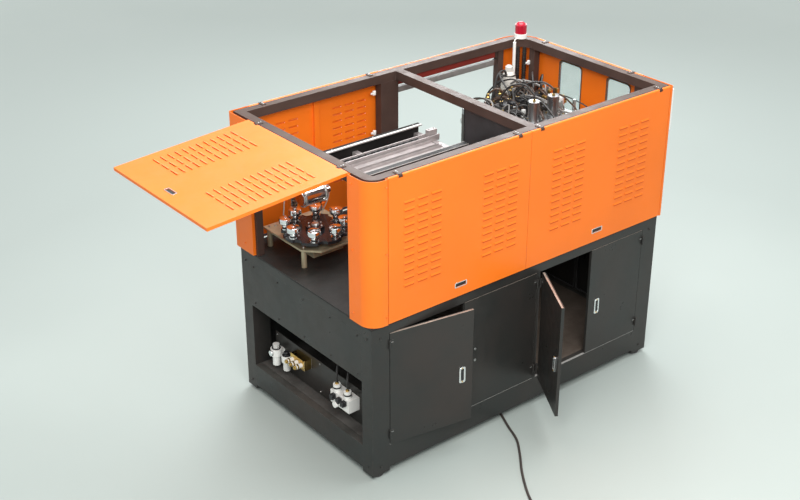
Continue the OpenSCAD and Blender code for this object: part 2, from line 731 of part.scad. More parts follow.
table_top = base_h + table_z + table_t;
wheel_at = [-hx + 290, 260];
wheel_z = table_top + 46;
wheel_t = 20;
shaft_r = 15;
leg_r = 18;
leg_in = 30;
table_l = -hx + 120;
table_r = -hx + 580;
table_rear = hy - 90;
module transfer_table() color([0.68, 0.63, 0.48]) {
  z0 = base_h + table_z;
  difference() {
    translate([0, 0, z0]) linear_extrude(table_t)
      polygon([[table_l, 175], [table_l + 90, 85], [table_r, 85], [table_r, table_rear], [table_l, table_rear]]);
    translate([wheel_at[0], wheel_at[1], z0 - 1]) cylinder(r = shaft_r + run, h = table_t + 2);
  }
  for (p = [[table_l + leg_in, 190], [table_r - leg_in, 85 + leg_in], [table_r - leg_in, table_rear - leg_in],
            [table_l + leg_in, table_rear - leg_in]])
    translate([p[0], p[1], base_h]) cylinder(r = leg_r, h = table_z - weld);
  // Geared motor that turns the wheel, hung under the plate
  translate([wheel_at[0], wheel_at[1], base_h]) difference() {
    box([-60, -60, 30], [170, 60, table_z - weld]);
    translate([0, 0, 60]) cylinder(r = shaft_r + run, h = table_z);
  }
}

module chuck_wheel() color([0.25, 0.25, 0.27]) translate([wheel_at[0], wheel_at[1], 0])
  difference() {
    union() {
      translate([0, 0, wheel_z]) cylinder(r = wheel_r, h = wheel_t, $fn = 96);
      translate([0, 0, table_top + weld]) cylinder(r = 42, h = wheel_z - table_top);
      translate([0, 0, base_h + 62]) cylinder(r = shaft_r, h = wheel_z - base_h - 62 + 4);
      translate([0, 0, wheel_z + wheel_t - bite]) cylinder(r = 60, h = 26);
    }
    for (k = [0:chucks_n - 1])
      rotate([0, 0, (k + 0.5) * 360 / chucks_n]) translate([wheel_r + 8, 0, wheel_z - 1])
        cylinder(r = 34, h = wheel_t + 2);
  }

module chucks() color([0.85, 0.85, 0.87]) translate([wheel_at[0], wheel_at[1], wheel_z + wheel_t])
  for (k = [0:chucks_n - 1])
    rotate([0, 0, k * 360 / chucks_n + 8]) translate([chuck_ring, 0, 0]) rotate_extrude($fn = 48) {
      square([chuck_r, 8]);
      square([chuck_r - 9, chuck_h - 22]);
      translate([0, 20]) square([chuck_r - 4, 8]);
      translate([0, chuck_h - 30]) square([chuck_r, 14]);
      intersection() {
        translate([0, chuck_h - 44]) circle(r = 44, $fn = 96);
        translate([0, chuck_h - 17]) square([chuck_r, 30]);
      }
    }

drum_at = [-hx + 320, 330, table_top + 265];
bracket_t = 30;
module transfer_cylinder() color([0.82, 0.83, 0.85]) {
  px = drum_at[0];
  bracket_y = table_rear - 40;
  box([px - 25, bracket_y - bracket_t, table_top], [px + 25, bracket_y, drum_at[2] - 25 - weld]);
  box([px - 25, drum_at[1] + drum_r + weld, drum_at[2] - 25], [px + 25, bracket_y, drum_at[2] + 25]);
  translate(drum_at) {
    rod_x(drum_r, drum_l);
    for (i = [-1, 1]) translate([i * (drum_l / 2 + 8), 0, 0]) rod_x(drum_r - 6, 18);
    translate([drum_l / 2 + 30, 0, 0]) rod_x(18, 60);
  }
}

oven_x0 = -hx + 400;
oven_top = base_h + oven_h;
module oven_frame() color([0.62, 0.62, 0.63]) {
  x1 = oven_x0 + oven_l;
  legs_z = oven_top - 60 - weld;
  // Rear angle, conveyor channel in the middle, front rail
  box([oven_x0, 300, oven_top - 200], [x1, 306, oven_top - 6 - weld]);
  box([oven_x0, 262, oven_top - 6], [x1, 306, oven_top]);
  difference() {
    box([oven_x0 + 20, 110, oven_top - 60], [x1 + 20, 170, oven_top - 20]);
    box([oven_x0 + 10, 118, oven_top - 52], [x1 + 30, 162, oven_top]);
  }
  box([oven_x0, -150, oven_top - 60], [x1 + 40, -104, oven_top - 10]);
  box([x1 - 60, 124, oven_top - 52 + weld], [x1 + 10, 156, oven_top + 14]);
  // Legs on the deck, clear of the transfer table, and cross-ties under the rails
  for (x = [oven_x0 + 240, x1 - 20]) {
    box([x - 20, -147, base_h], [x + 20, -107, legs_z]);
    box([x - 20, 308, oven_top - 110], [x + 20, 348, oven_top - 70]);
    box([x - 20, 308, base_h], [x + 20, 348, oven_top - 110 - weld]);
    box([x - 20, -107 + weld, legs_z - 40], [x + 20, 300 - weld, legs_z]);
  }
}

lamp_y = -60;
module lamp_bank() color([0.75, 0.74, 0.72]) {
  x0 = oven_x0 + 290;
  x1 = oven_x0 + oven_l - 70;
  // Reflectors on both sides of the preforms
  box([x0, lamp_y - 30, base_h], [x1, lamp_y - 26, oven_top - 110]);
  box([x0, 228, base_h], [x1, 232, oven_top - 110]);
  for (x = [x0, x1 - 20])
    box([x, lamp_y - 26 + weld, base_h + 100], [x + 20, lamp_y + 24, oven_top - 120]);
  for (k = [0:lamps_n - 1])
    translate([(x0 + x1) / 2, lamp_y, base_h + 150 + k * 58]) rod_x(6, x1 - x0 - 40 - 2 * weld);
}

/* Clamp: fixed plates, tie bars, two moving platens with their mould halves */

clamp_x = hx - 440;
clamp_y = clamp_gap / 2;
plate_top = base_h + plate_h;
bars = [for (i = [-1, 1], z = [80, plate_h - 60]) [clamp_x + i * (plate_l / 2 - 40), base_h + z]];
cyl_z = base_h + plate_h / 2;
rod_r = 20;
cyl_r = 60;
cyl_l = 96;
platen_y = mould_open / 2 + mould_t;

module clamp_frame() color([0.55, 0.56, 0.58]) {
  for (j = [-1, 1]) {
    difference() {
      box([clamp_x - plate_l / 2, j > 0 ? clamp_y : -clamp_y - fixed_t, base_h],
          [clamp_x + plate_l / 2, j > 0 ? clamp_y + fixed_t : -clamp_y, plate_top]);
      translate([clamp_x, j * (clamp_y + fixed_t / 2), cyl_z]) rod_y(rod_r + run, fixed_t + 2);
    }
    translate([clamp_x, j * (clamp_y + fixed_t + weld + cyl_l / 2), cyl_z]) difference() {
      rod_y(cyl_r, cyl_l);
      translate([0, -j * 12, 0]) rod_y(rod_r + run, cyl_l);
    }
  }
  for (b = bars) translate([b[0], 0, b[1]]) rod_y(bar_r, clamp_gap - 2 * weld);
}

// Half of a bottle's outline, for the cavities
module bottle()
  rotate_extrude() {
    square([32, 170]);
    translate([0, 170]) intersection() {
      circle(r = 32);
      square([32, 32]);
    }
    square([14, 260]);
  }

module platen(j) {
  mh = plate_h - 180;
  mz = base_h + 110;
  difference() {
    union() {
      box([clamp_x - plate_l / 2, j > 0 ? platen_y : -platen_y - platen_t, base_h + 20],
          [clamp_x + plate_l / 2, j > 0 ? platen_y + platen_t : -platen_y, plate_top - 10]);
      box([clamp_x - 180, j > 0 ? mould_open / 2 : -platen_y - bite, mz],
          [clamp_x + 180, j > 0 ? platen_y + bite : -mould_open / 2, mz + mh]);
      rod_from = platen_y + platen_t - bite;
      rod_to = clamp_y + fixed_t + cyl_l - 30;
      translate([clamp_x, j * (rod_from + rod_to) / 2, cyl_z]) rod_y(rod_r, rod_to - rod_from);
    }
    for (b = bars) translate([b[0], j * (platen_y + platen_t / 2), b[1]]) rod_y(bar_r + run, platen_t + 4);
    for (i = [-1, 1])
      translate([clamp_x + i * 90, j * mould_open / 2, mz + mh - 259]) bottle();
  }
}
module platen_rear() color([0.7, 0.71, 0.74]) platen(1);
module platen_front() color([0.7, 0.71, 0.74]) platen(-1);

// Bridge over the clamp with the two stretching cylinders
beam_z = plate_top;
beam_h = 40;
bridge_z = beam_z + beam_h + weld;
bridge_t = 20;
stretch_xs = [clamp_x - 90, clamp_x + 90];
carriage_t = 22;
guide_r = 12;
module stretch_frame() color([0.60, 0.61, 0.63]) {
  for (i = [-1, 1])
    box([clamp_x + i * (plate_l / 2 - 24) - 22, -clamp_y - fixed_t, beam_z],
        [clamp_x + i * (plate_l / 2 - 24) + 22, clamp_y + fixed_t, beam_z + beam_h]);
  difference() {
    box([clamp_x - plate_l / 2, -95, bridge_z], [clamp_x + plate_l / 2, 95, bridge_z + bridge_t]);
    for (x = stretch_xs) translate([x, 0, bridge_z - 1]) cylinder(r = guide_r + run, h = bridge_t + 2);
  }
  for (x = stretch_xs)
    translate([x, 0, bridge_z + bridge_t + weld]) difference() {
      union() {
        cylinder(r = 32, h = 150);
        cylinder(r = 40, h = 14);
        translate([0, 0, 136]) cylinder(r = 40, h = 14);
      }
      translate([0, 0, -1]) cylinder(r = guide_r + run, h = 120);
    }
}

module stretch_carriage() color([0.78, 0.79, 0.8]) {
  z0 = beam_z + beam_h - carriage_t - 2;
  nozzle_z = base_h + 110 + plate_h - 180 + nozzle_travel + 1;
  box([clamp_x - 185, -60, z0], [clamp_x + 185, 60, z0 + carriage_t]);
  for (x = stretch_xs) translate([x, 0, 0]) {
    translate([0, 0, z0 + carriage_t - bite]) cylinder(r = guide_r, h = 100);
    translate([0, 0, nozzle_z]) cylinder(r = 16, h = z0 - nozzle_z + bite);
    translate([0, 0, nozzle_z]) cylinder(r = 22, h = 12);
  }
}

manifold_z = beam_z + beam_h;
module valve_manifold() color([0.72, 0.72, 0.70]) {
  y0 = 150;
  box([clamp_x - plate_l / 2, y0, manifold_z], [clamp_x + plate_l / 2, y0 + 300, manifold_z + 12]);
  for (k = [0:5]) {
    x = clamp_x - 200 + k * 74;
    box([x, y0 + 30, manifold_z + 12 - bite], [x + 56, y0 + 130, manifold_z + 90]);
    translate([x + 28, y0 + 80, manifold_z + 88]) cylinder(r = 14, h = 34);
  }
  for (k = [0:3]) {
    translate([clamp_x - 170 + k * 110, y0 + 215, manifold_z + 12 - bite]) {
      cylinder(r = 28, h = 66);
      translate([0, 0, 65]) cylinder(r = 16, h = 26);
    }
  }
}

/* Tubes swept along a list of points */

function unit(v) = v / norm(v);
// Point between b and c on a smooth curve through a, b, c, d
function curve_at(a, b, c, d, t) =
  0.5 * (2 * b + (c - a) * t + (2 * a - 5 * b + 4 * c - d) * t * t + (3 * b - a - 3 * c + d) * t * t * t);
function smooth(p, n) = let (m = len(p) - 1) [
  for (i = [0:m - 1], k = [0:n - 1])
    curve_at(p[max(i - 1, 0)], p[i], p[i + 1], p[min(i + 2, m)], k / n),
  p[m]
];
// ref is a direction that the route never runs along
module swept(route, r, sides, ref) {
  n = len(route);
  ring = [for (i = [0:n - 1]) let (
      t = unit(route[min(i + 1, n - 1)] - route[max(i - 1, 0)]),
      u = unit(cross(t, ref)),
      v = cross(t, u)
    ) for (k = [0:sides - 1]) route[i] + r * (cos(k * 360 / sides) * u + sin(k * 360 / sides) * v)];
  skins = [for (i = [0:n - 2], k = [0:sides - 1]) let (a = i * sides + k, b = i * sides + (k + 1) % sides)
    for (f = [[a, a + sides, b + sides], [a, b + sides, b]]) f];
  caps = [[for (k = [0:sides - 1]) k], [for (k = [0:sides - 1]) n * sides - 1 - k]];
  polyhedron(points = ring, faces = concat(skins, caps), convexity = 4);
}

// Hoses from the valves to the cylinders: route and radius of each
hose_end = 1;
valve_top = manifold_z + 122 + hose_end;
stretch_top = bridge_z + bridge_t + weld + 150 + hose_end;
cylinder_y = clamp_y + fixed_t + weld + cyl_l / 2;
hose_foot = base_h + hose_end;
function from_valve(k) = let (x = clamp_x - 172 + k * 74)
  [for (z = [0, 12, 36]) [x, 230, valve_top + z]];
hose_routes = [
  [concat(from_valve(0), [[clamp_x - 158, 165, valve_top + 120], [clamp_x - 120, 70, valve_top + 150],
    [stretch_xs[0] - 2, 8, stretch_top + 50], [stretch_xs[0], 0, stretch_top + 22],
    [stretch_xs[0], 0, stretch_top]]), 6],
  [concat(from_valve(2), [[clamp_x, 160, valve_top + 105], [clamp_x + 50, 70, valve_top + 130],
    [stretch_xs[1] - 3, 8, stretch_top + 50], [stretch_xs[1], 0, stretch_top + 22],
    [stretch_xs[1], 0, stretch_top]]), 6],
  [concat(from_valve(3), [[clamp_x + 30, 330, valve_top + 80], [clamp_x + 8, 460, valve_top + 20],
    [clamp_x, 560, valve_top - 90], [clamp_x, cylinder_y, valve_top - 230],
    [clamp_x, cylinder_y, cyl_z + cyl_r + hose_end]]), 6],
  [concat(from_valve(4), [[clamp_x + 180, 300, valve_top + 90], [clamp_x + 250, 370, valve_top + 60],
    [clamp_x + 295, 415, valve_top - 80], [clamp_x + 305, 430, valve_top - 300],
    [clamp_x + 305, 430, hose_foot]]), 7],
  [concat(from_valve(5), [[clamp_x + 240, 262, valve_top + 80], [clamp_x + 295, 330, valve_top + 30],
    [clamp_x + 335, 420, valve_top - 150], [clamp_x + 345, 470, valve_top - 380],
    [clamp_x + 345, 470, hose_foot]]), 7],
  [concat(from_valve(1), [[clamp_x - 80, 330, valve_top + 100], [clamp_x + 10, 450, valve_top + 95],
    [clamp_x + 140, 545, valve_top + 20], [clamp_x + 260, 545, valve_top - 120],
    [clamp_x + 315, 540, valve_top - 330], [clamp_x + 315, 540, hose_foot]]), 7]
];
module hoses() color([0.12, 0.11, 0.11]) {
  for (h = hose_routes) swept(smooth(h[0], 5), h[1], 8, [0.97, -0.25, 0.02]);
  // Two wrapped looms down the inside of the rounded rear corner
  for (p = [[hx - 70, hy - 105], [hx - 110, hy - 80]])
    translate([p[0], p[1], base_h]) cylinder(r = 14, h = tube_z - base_h - weld, $fn = 24);
}

/* Power cable: leaves a gland in the floor pan, runs out under the front rail over the floor */

// Measured from the middle of the front face, as the route is
gland_at = [-60, -hy + 250];
gland_hole = 20;
gland_z = sill_top - pan_t - 34;
lie = cable_d / 2 + 0.2;
// Left side of the coil, where the cable comes in
coil_x = -655;
cable_route = [for (p = [
  [-60, 250, gland_z - 0.4], [-60, 250, gland_z - 30], [-62, 242, 100], [-72, 208, 52], [-88, 154, 20],
  [-105, 95, lie + 1.5], [-128, 34, lie], [-188, -102, lie], [-244, -239, lie], [-339, -370, lie],
  [-450, -505, lie], [-549, -648, lie], [-612, -765, lie], [-648, -910, lie],
  [coil_x, -1030, lie], [coil_x, -1120, lie]
]) p + [0, -hy, 0]];
// The coil's six turns, three beside each other in two layers, as one ring
coil_rows = 2;
coil_cols = 3;
turn_r = coil_d / 2 + cable_d;
coil_out = turn_r + cable_d / 2;
coil_at = [coil_x + turn_r, -hy - 1180, 0.2];

// From the coil's upper outer turn: straight on, then round a bend into the plug's tail
plug_r = 30;
grip_r = 24;
bend_r = 4 * cable_d;
bend_a = 75;
free_l = sqrt(pow(coil_out + cable_d / 2 + weld, 2) - pow(turn_r, 2));
plug_x = coil_out + grip_r + weld;
bend_s = (plug_x - bend_r - (turn_r - bend_r) * cos(bend_a)) / sin(bend_a);
bend_y = bend_s * cos(bend_a) - (turn_r - bend_r) * sin(bend_a);
tail_z = 1.5 * cable_d;
tail = concat(
  [[turn_r * cos(bend_a) + free_l * sin(bend_a), free_l * cos(bend_a) - turn_r * sin(bend_a), tail_z]],
  [for (a = [-bend_a:15:0])
    [plug_x - bend_r + bend_r * cos(a), bend_y + bend_r * sin(a), plug_r + (plug_r - tail_z) * a / bend_a]]
);

module power_cable() color([0.16, 0.15, 0.15]) {
  swept(smooth(cable_route, 4), cable_d / 2, 10, [0.86, -0.5, 0.04]);
  translate(coil_at) swept(tail, cable_d / 2, 10, [0.02, -0.03, 1]);
}

module cable_coil() color([0.16, 0.15, 0.15]) {
  w = coil_cols * cable_d;
  translate(coil_at) rotate_extrude($fn = 72) difference() {
    translate([coil_d / 2 - w / 2, 0]) square([w, coil_rows * cable_d]);
    for (x = [-w / 2, w / 2], z = [0, coil_rows * cable_d])
      translate([coil_d / 2 + x, z]) rotate(45) square(5, center = true);
  }
}

module cable_plug() color([0.75, 0.1, 0.08])
  translate([coil_at[0] + plug_x, coil_at[1] + bend_y + 1, plug_r]) rotate([-90, 0, 0]) {
    cylinder(r1 = 12, r2 = 16, h = 36);
    translate([0, 0, 35]) cylinder(r = grip_r, h = 56);
    translate([0, 0, 90]) cylinder(r = plug_r, h = 60);
    translate([0, 0, 149]) difference() {
      cylinder(r = 27, h = 15);
      translate([0, 0, 2]) cylinder(r = 24, h = 14);
    }
    for (a = [0:72:359]) rotate([0, 0, a]) translate([15, 0, 149]) cylinder(r = 3, h = 13);
  }

module cable_gland() color([0.15, 0.15, 0.15]) translate([gland_at[0], gland_at[1], gland_z]) {
  translate([0, 0, 0]) cylinder(r1 = 10, r2 = 15, h = 14);
  translate([0, 0, 13.5]) cylinder(r = 24, h = 20.5, $fn = 6);
  translate([0, 0, 33]) cylinder(r = gland_hole - weld, h = pan_t + 9);
  translate([0, 0, 34 + pan_t + weld]) cylinder(r = 26, h = 8, $fn = 6);
}

base_frame();
levelling_feet();
floor_pan();
deck_plate();
left_end_panel();
rear_base_panels();
front_door_1();
front_door_2();
front_door_3();
front_door_4();
end_door_front();
end_door_rear();
door_hinges();
lock_lever_1();
lock_lever_3();
lock_lever_4();
lock_lever_end();
air_preparation_unit();
base_valve_block();
upper_frame();
corner_front_left();
corner_rear_left();
corner_front_right();
corner_rear_right();
left_flap();
front_flap_left();
front_flap_right();
rear_flap();
right_flap();
right_flap_windows();
flap_hinge_lugs();
latch_left();
latch_front_left();
latch_front_right();
latch_rear();
latch_right();
beacon_base();
beacon_dome();
cable_conduit();
document_holder();
emergency_stop();
start_button();
partition_panel();
transfer_table();
chuck_wheel();
chucks();
transfer_cylinder();
oven_frame();
lamp_bank();
clamp_frame();
platen_rear();
platen_front();
stretch_frame();
stretch_carriage();
valve_manifold();
hoses();
power_cable();
cable_coil();
cable_plug();
cable_gland();
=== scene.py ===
import random
from math import cos, pi, radians, sin, tau

import bmesh
import bpy
from bpy.props import FloatProperty, FloatVectorProperty, PointerProperty
from mathutils import Matrix, Vector


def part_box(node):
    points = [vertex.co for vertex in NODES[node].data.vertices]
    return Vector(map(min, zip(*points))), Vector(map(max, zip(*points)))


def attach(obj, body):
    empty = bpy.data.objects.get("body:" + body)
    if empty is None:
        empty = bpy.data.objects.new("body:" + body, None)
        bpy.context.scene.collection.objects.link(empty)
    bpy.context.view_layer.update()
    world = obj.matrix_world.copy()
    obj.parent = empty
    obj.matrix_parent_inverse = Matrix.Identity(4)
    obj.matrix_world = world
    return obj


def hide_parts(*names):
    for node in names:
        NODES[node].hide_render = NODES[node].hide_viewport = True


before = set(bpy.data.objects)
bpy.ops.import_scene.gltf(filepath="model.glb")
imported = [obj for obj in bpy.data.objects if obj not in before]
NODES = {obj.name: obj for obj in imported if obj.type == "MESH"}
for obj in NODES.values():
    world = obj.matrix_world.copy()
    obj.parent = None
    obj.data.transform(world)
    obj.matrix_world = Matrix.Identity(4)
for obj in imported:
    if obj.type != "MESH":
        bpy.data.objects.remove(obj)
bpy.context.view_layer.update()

bl_info = {
    "name": "Blow Moulding Machine Dresser",
    "version": (1, 0, 0),
    "blender": (4, 5, 0),
    "location": "View3D > Sidebar > Machine",
    "description": "Coats and dresses the frame of a stretch blow moulding machine",
    "category": "Add Mesh",
}

# Places that the frame's source also uses, in metres, in the machine's own frame
BASE_X, BASE_Y = 1.22, 0.69
SHELL_X, SHELL_Y = 1.24, 0.71
HINGE_OUT = 0.008
FLAP_AXIS_Z = 1.99
ROLL = 0.01
LOCK_Z, LOCK_IN = 0.56, 0.076
MID_X = 0.12
POST_L, POST_W = 0.132, 0.1
PAIR_1, PAIR_2 = -0.505, 0.6
DOOR_GAP = 0.003
DOOR_BOTTOM, DOOR_TOP = 0.215, 0.997
FLAP_H = 0.912
SHEET = 0.0015
LATCH_Z = -0.832
CLAMP_X = 0.78
ROD_ZS = (1.15, 1.54)
OVEN_X = (-0.82, -0.06)
AIR_X = -1.092

UP, FRONT, REAR, LEFT, RIGHT = (0, 0, 1), (0, -1, 0), (0, 1, 0), (-1, 0, 0), (1, 0, 0)
SIDES = (-1, 1)


# Sizes and colours

class MachinePaint(bpy.types.PropertyGroup):
    orange: FloatVectorProperty(
        name="Enclosure", description="Powder coat of the flaps and corner posts",
        subtype="COLOR", size=3, min=0, max=1, default=(0.95, 0.195, 0.012))
    charcoal: FloatVectorProperty(
        name="Base", description="Satin paint of the base cabinet",
        subtype="COLOR", size=3, min=0, max=1, default=(0.027, 0.031, 0.03))
    frame_brown: FloatVectorProperty(
        name="Top frame", description="Paint of the square tubes round the open top",
        subtype="COLOR", size=3, min=0, max=1, default=(0.074, 0.047, 0.039))
    beacon: FloatVectorProperty(
        name="Beacon", description="Colour of the beacon's dome",
        subtype="COLOR", size=3, min=0, max=1, default=(0.58, 0.012, 0.04))
    wear: FloatProperty(
        name="Wear", description="How far paint is rubbed from the edges",
        subtype="FACTOR", min=0, max=1, default=0.45)
    dust: FloatProperty(
        name="Dust", description="How much dust lies on upward faces",
        subtype="FACTOR", min=0, max=1, default=0.28)


class MachineTrim(bpy.types.PropertyGroup):
    bezel_w: FloatProperty(
        name="Bezel width", description="Width of a door lock's bright bezel",
        unit="LENGTH", default=0.044)
    bezel_h: FloatProperty(
        name="Bezel height", description="Height of a door lock's bright bezel",
        unit="LENGTH", default=0.112)
    screw_r: FloatProperty(
        name="Screw head", description="Radius of the usual screw head",
        unit="LENGTH", default=0.0065)


class MachineCable(bpy.types.PropertyGroup):
    thickness: FloatProperty(
        name="Thickness", description="Diameter of the power cable",
        unit="LENGTH", default=0.016)
    coil: FloatProperty(
        name="Coil", description="Diameter of the coil at the middle of its turns",
        unit="LENGTH", default=0.19)


class MachineStage(bpy.types.PropertyGroup):
    lens: FloatProperty(
        name="Lens", description="Focal length on a 36 mm sensor",
        unit="CAMERA", default=60.2)
    eye: FloatVectorProperty(
        name="Eye", description="Place of the camera",
        subtype="TRANSLATION", unit="LENGTH", size=3, default=(-5.243, -5.96, 4.996))
    heading: FloatProperty(
        name="Heading", description="Direction of view, from +Y towards +X",
        subtype="ANGLE", default=radians(38.78))
    tilt: FloatProperty(
        name="Tilt", description="Angle of view below the horizon",
        subtype="ANGLE", default=radians(27.2))
    floor: FloatVectorProperty(
        name="Floor", description="Colour of the floor",
        subtype="COLOR", size=3, min=0, max=1, default=(0.44, 0.5, 0.475))
    key: FloatProperty(
        name="Key lamp", description="Power of the large lamp over the front",
        unit="POWER", default=420.0)
    fill: FloatProperty(
        name="Sky", description="Strength of the even light from all sides",
        min=0, max=2, default=0.5)


def paint():
    return bpy.context.scene.machine_paint


def trim():
    return bpy.context.scene.machine_trim


# Nodes

MIX_A, MIX_B, MIX_RESULT = 6, 7, 2
CONTRAST = (0.3, 0.7)
BUMP_DEPTH = 0.0004
DUST_COLOUR = (0.42, 0.4, 0.36)


def node(tree, kind, inputs=(), **settings):
    """Adds a node; each input is given as a key and a plain value or another node's socket."""
    made = tree.nodes.new("ShaderNode" + kind)
    for key, value in settings.items():
        setattr(made, key, value)
    fill(tree, made.inputs, inputs)
    return made


def fill(tree, sockets, inputs):
    for key, value in inputs:
        if isinstance(value, bpy.types.NodeSocket):
            tree.links.new(value, sockets[key])
        elif sockets[key].type == "RGBA":
            sockets[key].default_value = (*value, 1)
        else:
            sockets[key].default_value = value


def ramp(tree, source, span, low, high):
    """Maps a span of values to another one and holds them inside it."""
    return node(tree, "MapRange", enumerate((source, *span, low, high))).outputs["Result"]


def blended(tree, factor, first, second):
    """Mixes two colours, each a socket or a plain colour."""
    pairs = ((0, factor), (MIX_A, first), (MIX_B, second))
    return node(tree, "Mix", pairs, data_type="RGBA").outputs[MIX_RESULT]


def maths(tree, operation, first, second, **settings):
    return node(tree, "Math", enumerate((first, second)), operation=operation, **settings).outputs[0]


def noise(tree, place, scale, detail=4.0, rough=0.55):
    pairs = (("Vector", place), ("Scale", scale), ("Detail", detail), ("Roughness", rough))
    return node(tree, "TexNoise", pairs).outputs["Fac"]


def bumped(tree, height, strength, *normal):
    pairs = (("Strength", strength), ("Distance", BUMP_DEPTH), ("Height", height), *normal)
    return node(tree, "Bump", pairs).outputs["Normal"]


def new_surface(name):
    """A new material, its tree, its shader's inputs and the object's own coordinates."""
    made = bpy.data.materials.new(name)
    made.use_nodes = True
    tree = made.node_tree
    return made, tree, tree.nodes["Principled BSDF"].inputs, node(tree, "TexCoord").outputs["Object"]


def finish_coat(name, colour, rough, metal, mottle, grain, edge, brush=None, dust=0.0, worn=None,
                spread=0.1, second=None, shine=0.5):
    """A surface finish: colour that varies a little, grain, brushing, dust on top and rubbed edges."""
    made, tree, shader, place = new_surface(name)
    light = second or tuple(min(1.0, c * (1 + mottle[1])) for c in colour)
    shade = blended(tree, ramp(tree, noise(tree, place, mottle[0], 6.0), CONTRAST, 0, 1),
                    tuple(c * (1 - mottle[1]) for c in colour), light)
    gloss = ramp(tree, noise(tree, place, 9.0, 7.0, 0.65), CONTRAST, rough - spread, rough + spread)
    if brush:
        squeeze = node(tree, "Mapping", (("Vector", place), ("Scale", brush)))
        height = noise(tree, squeeze.outputs["Vector"], 60.0, 3.0)
        shade = blended(tree, ramp(tree, height, (0.35, 0.65), 0.0, 0.35), shade,
                        tuple(c * 0.72 for c in colour))
    else:
        height = noise(tree, place, grain[0], 2.0)
    bevel = node(tree, "Bevel", (("Radius", edge),), samples=4).outputs["Normal"]
    if worn:
        plain = node(tree, "NewGeometry").outputs["Normal"]
        facing = node(tree, "VectorMath", ((0, bevel), (1, plain)), operation="DOT_PRODUCT")
        rubbed = ramp(tree, facing.outputs["Value"], (0.995, 0.9), 0, 1)
        patch = ramp(tree, noise(tree, place, 23.0, 5.0), (0.46, 0.62), 0, paint().wear)
        shade = blended(tree, maths(tree, "MULTIPLY", rubbed, patch), shade, worn)
    if dust:
        up = node(tree, "SeparateXYZ", (("Vector", node(tree, "TexCoord").outputs["Normal"]),))
        film = maths(tree, "MULTIPLY", ramp(tree, up.outputs["Z"], (0.55, 0.98), 0, dust),
                     ramp(tree, noise(tree, place, 6.0, 8.0, 0.7), (0.35, 0.72), 0.25, 1))
        shade = blended(tree, film, shade, DUST_COLOUR)
        gloss = maths(tree, "ADD", gloss, maths(tree, "MULTIPLY", film, 0.35), use_clamp=True)
    fill(tree, shader, (
        ("Base Color", shade), ("Roughness", gloss), ("Metallic", metal), ("Specular IOR Level", shine),
        ("Normal", bumped(tree, height, grain[1], ("Normal", bevel)))))
    return made


def see_through(name, colour, rough, weight, ior):
    """A smeared clear or tinted plastic."""
    made, tree, shader, place = new_surface(name)
    smear = noise(tree, place, 11.0, 7.0, 0.65)
    fill(tree, shader, (
        ("Base Color", blended(tree, ramp(tree, smear, CONTRAST, 0, 1), tuple(c * 0.93 for c in colour),
                               tuple(colour))),
        ("Roughness", ramp(tree, smear, (0.3, 0.75), rough * 0.6, rough * 1.6)),
        ("Transmission Weight", weight), ("IOR", ior),
        ("Normal", bumped(tree, noise(tree, place, 90.0, 2.0), 0.05))))
    return made


# Finishes

EDGE = 0.0015
ALONG_X, ALONG_Y = {"brush": (1.0, 9.0, 9.0)}, {"brush": (9.0, 1.0, 9.0)}


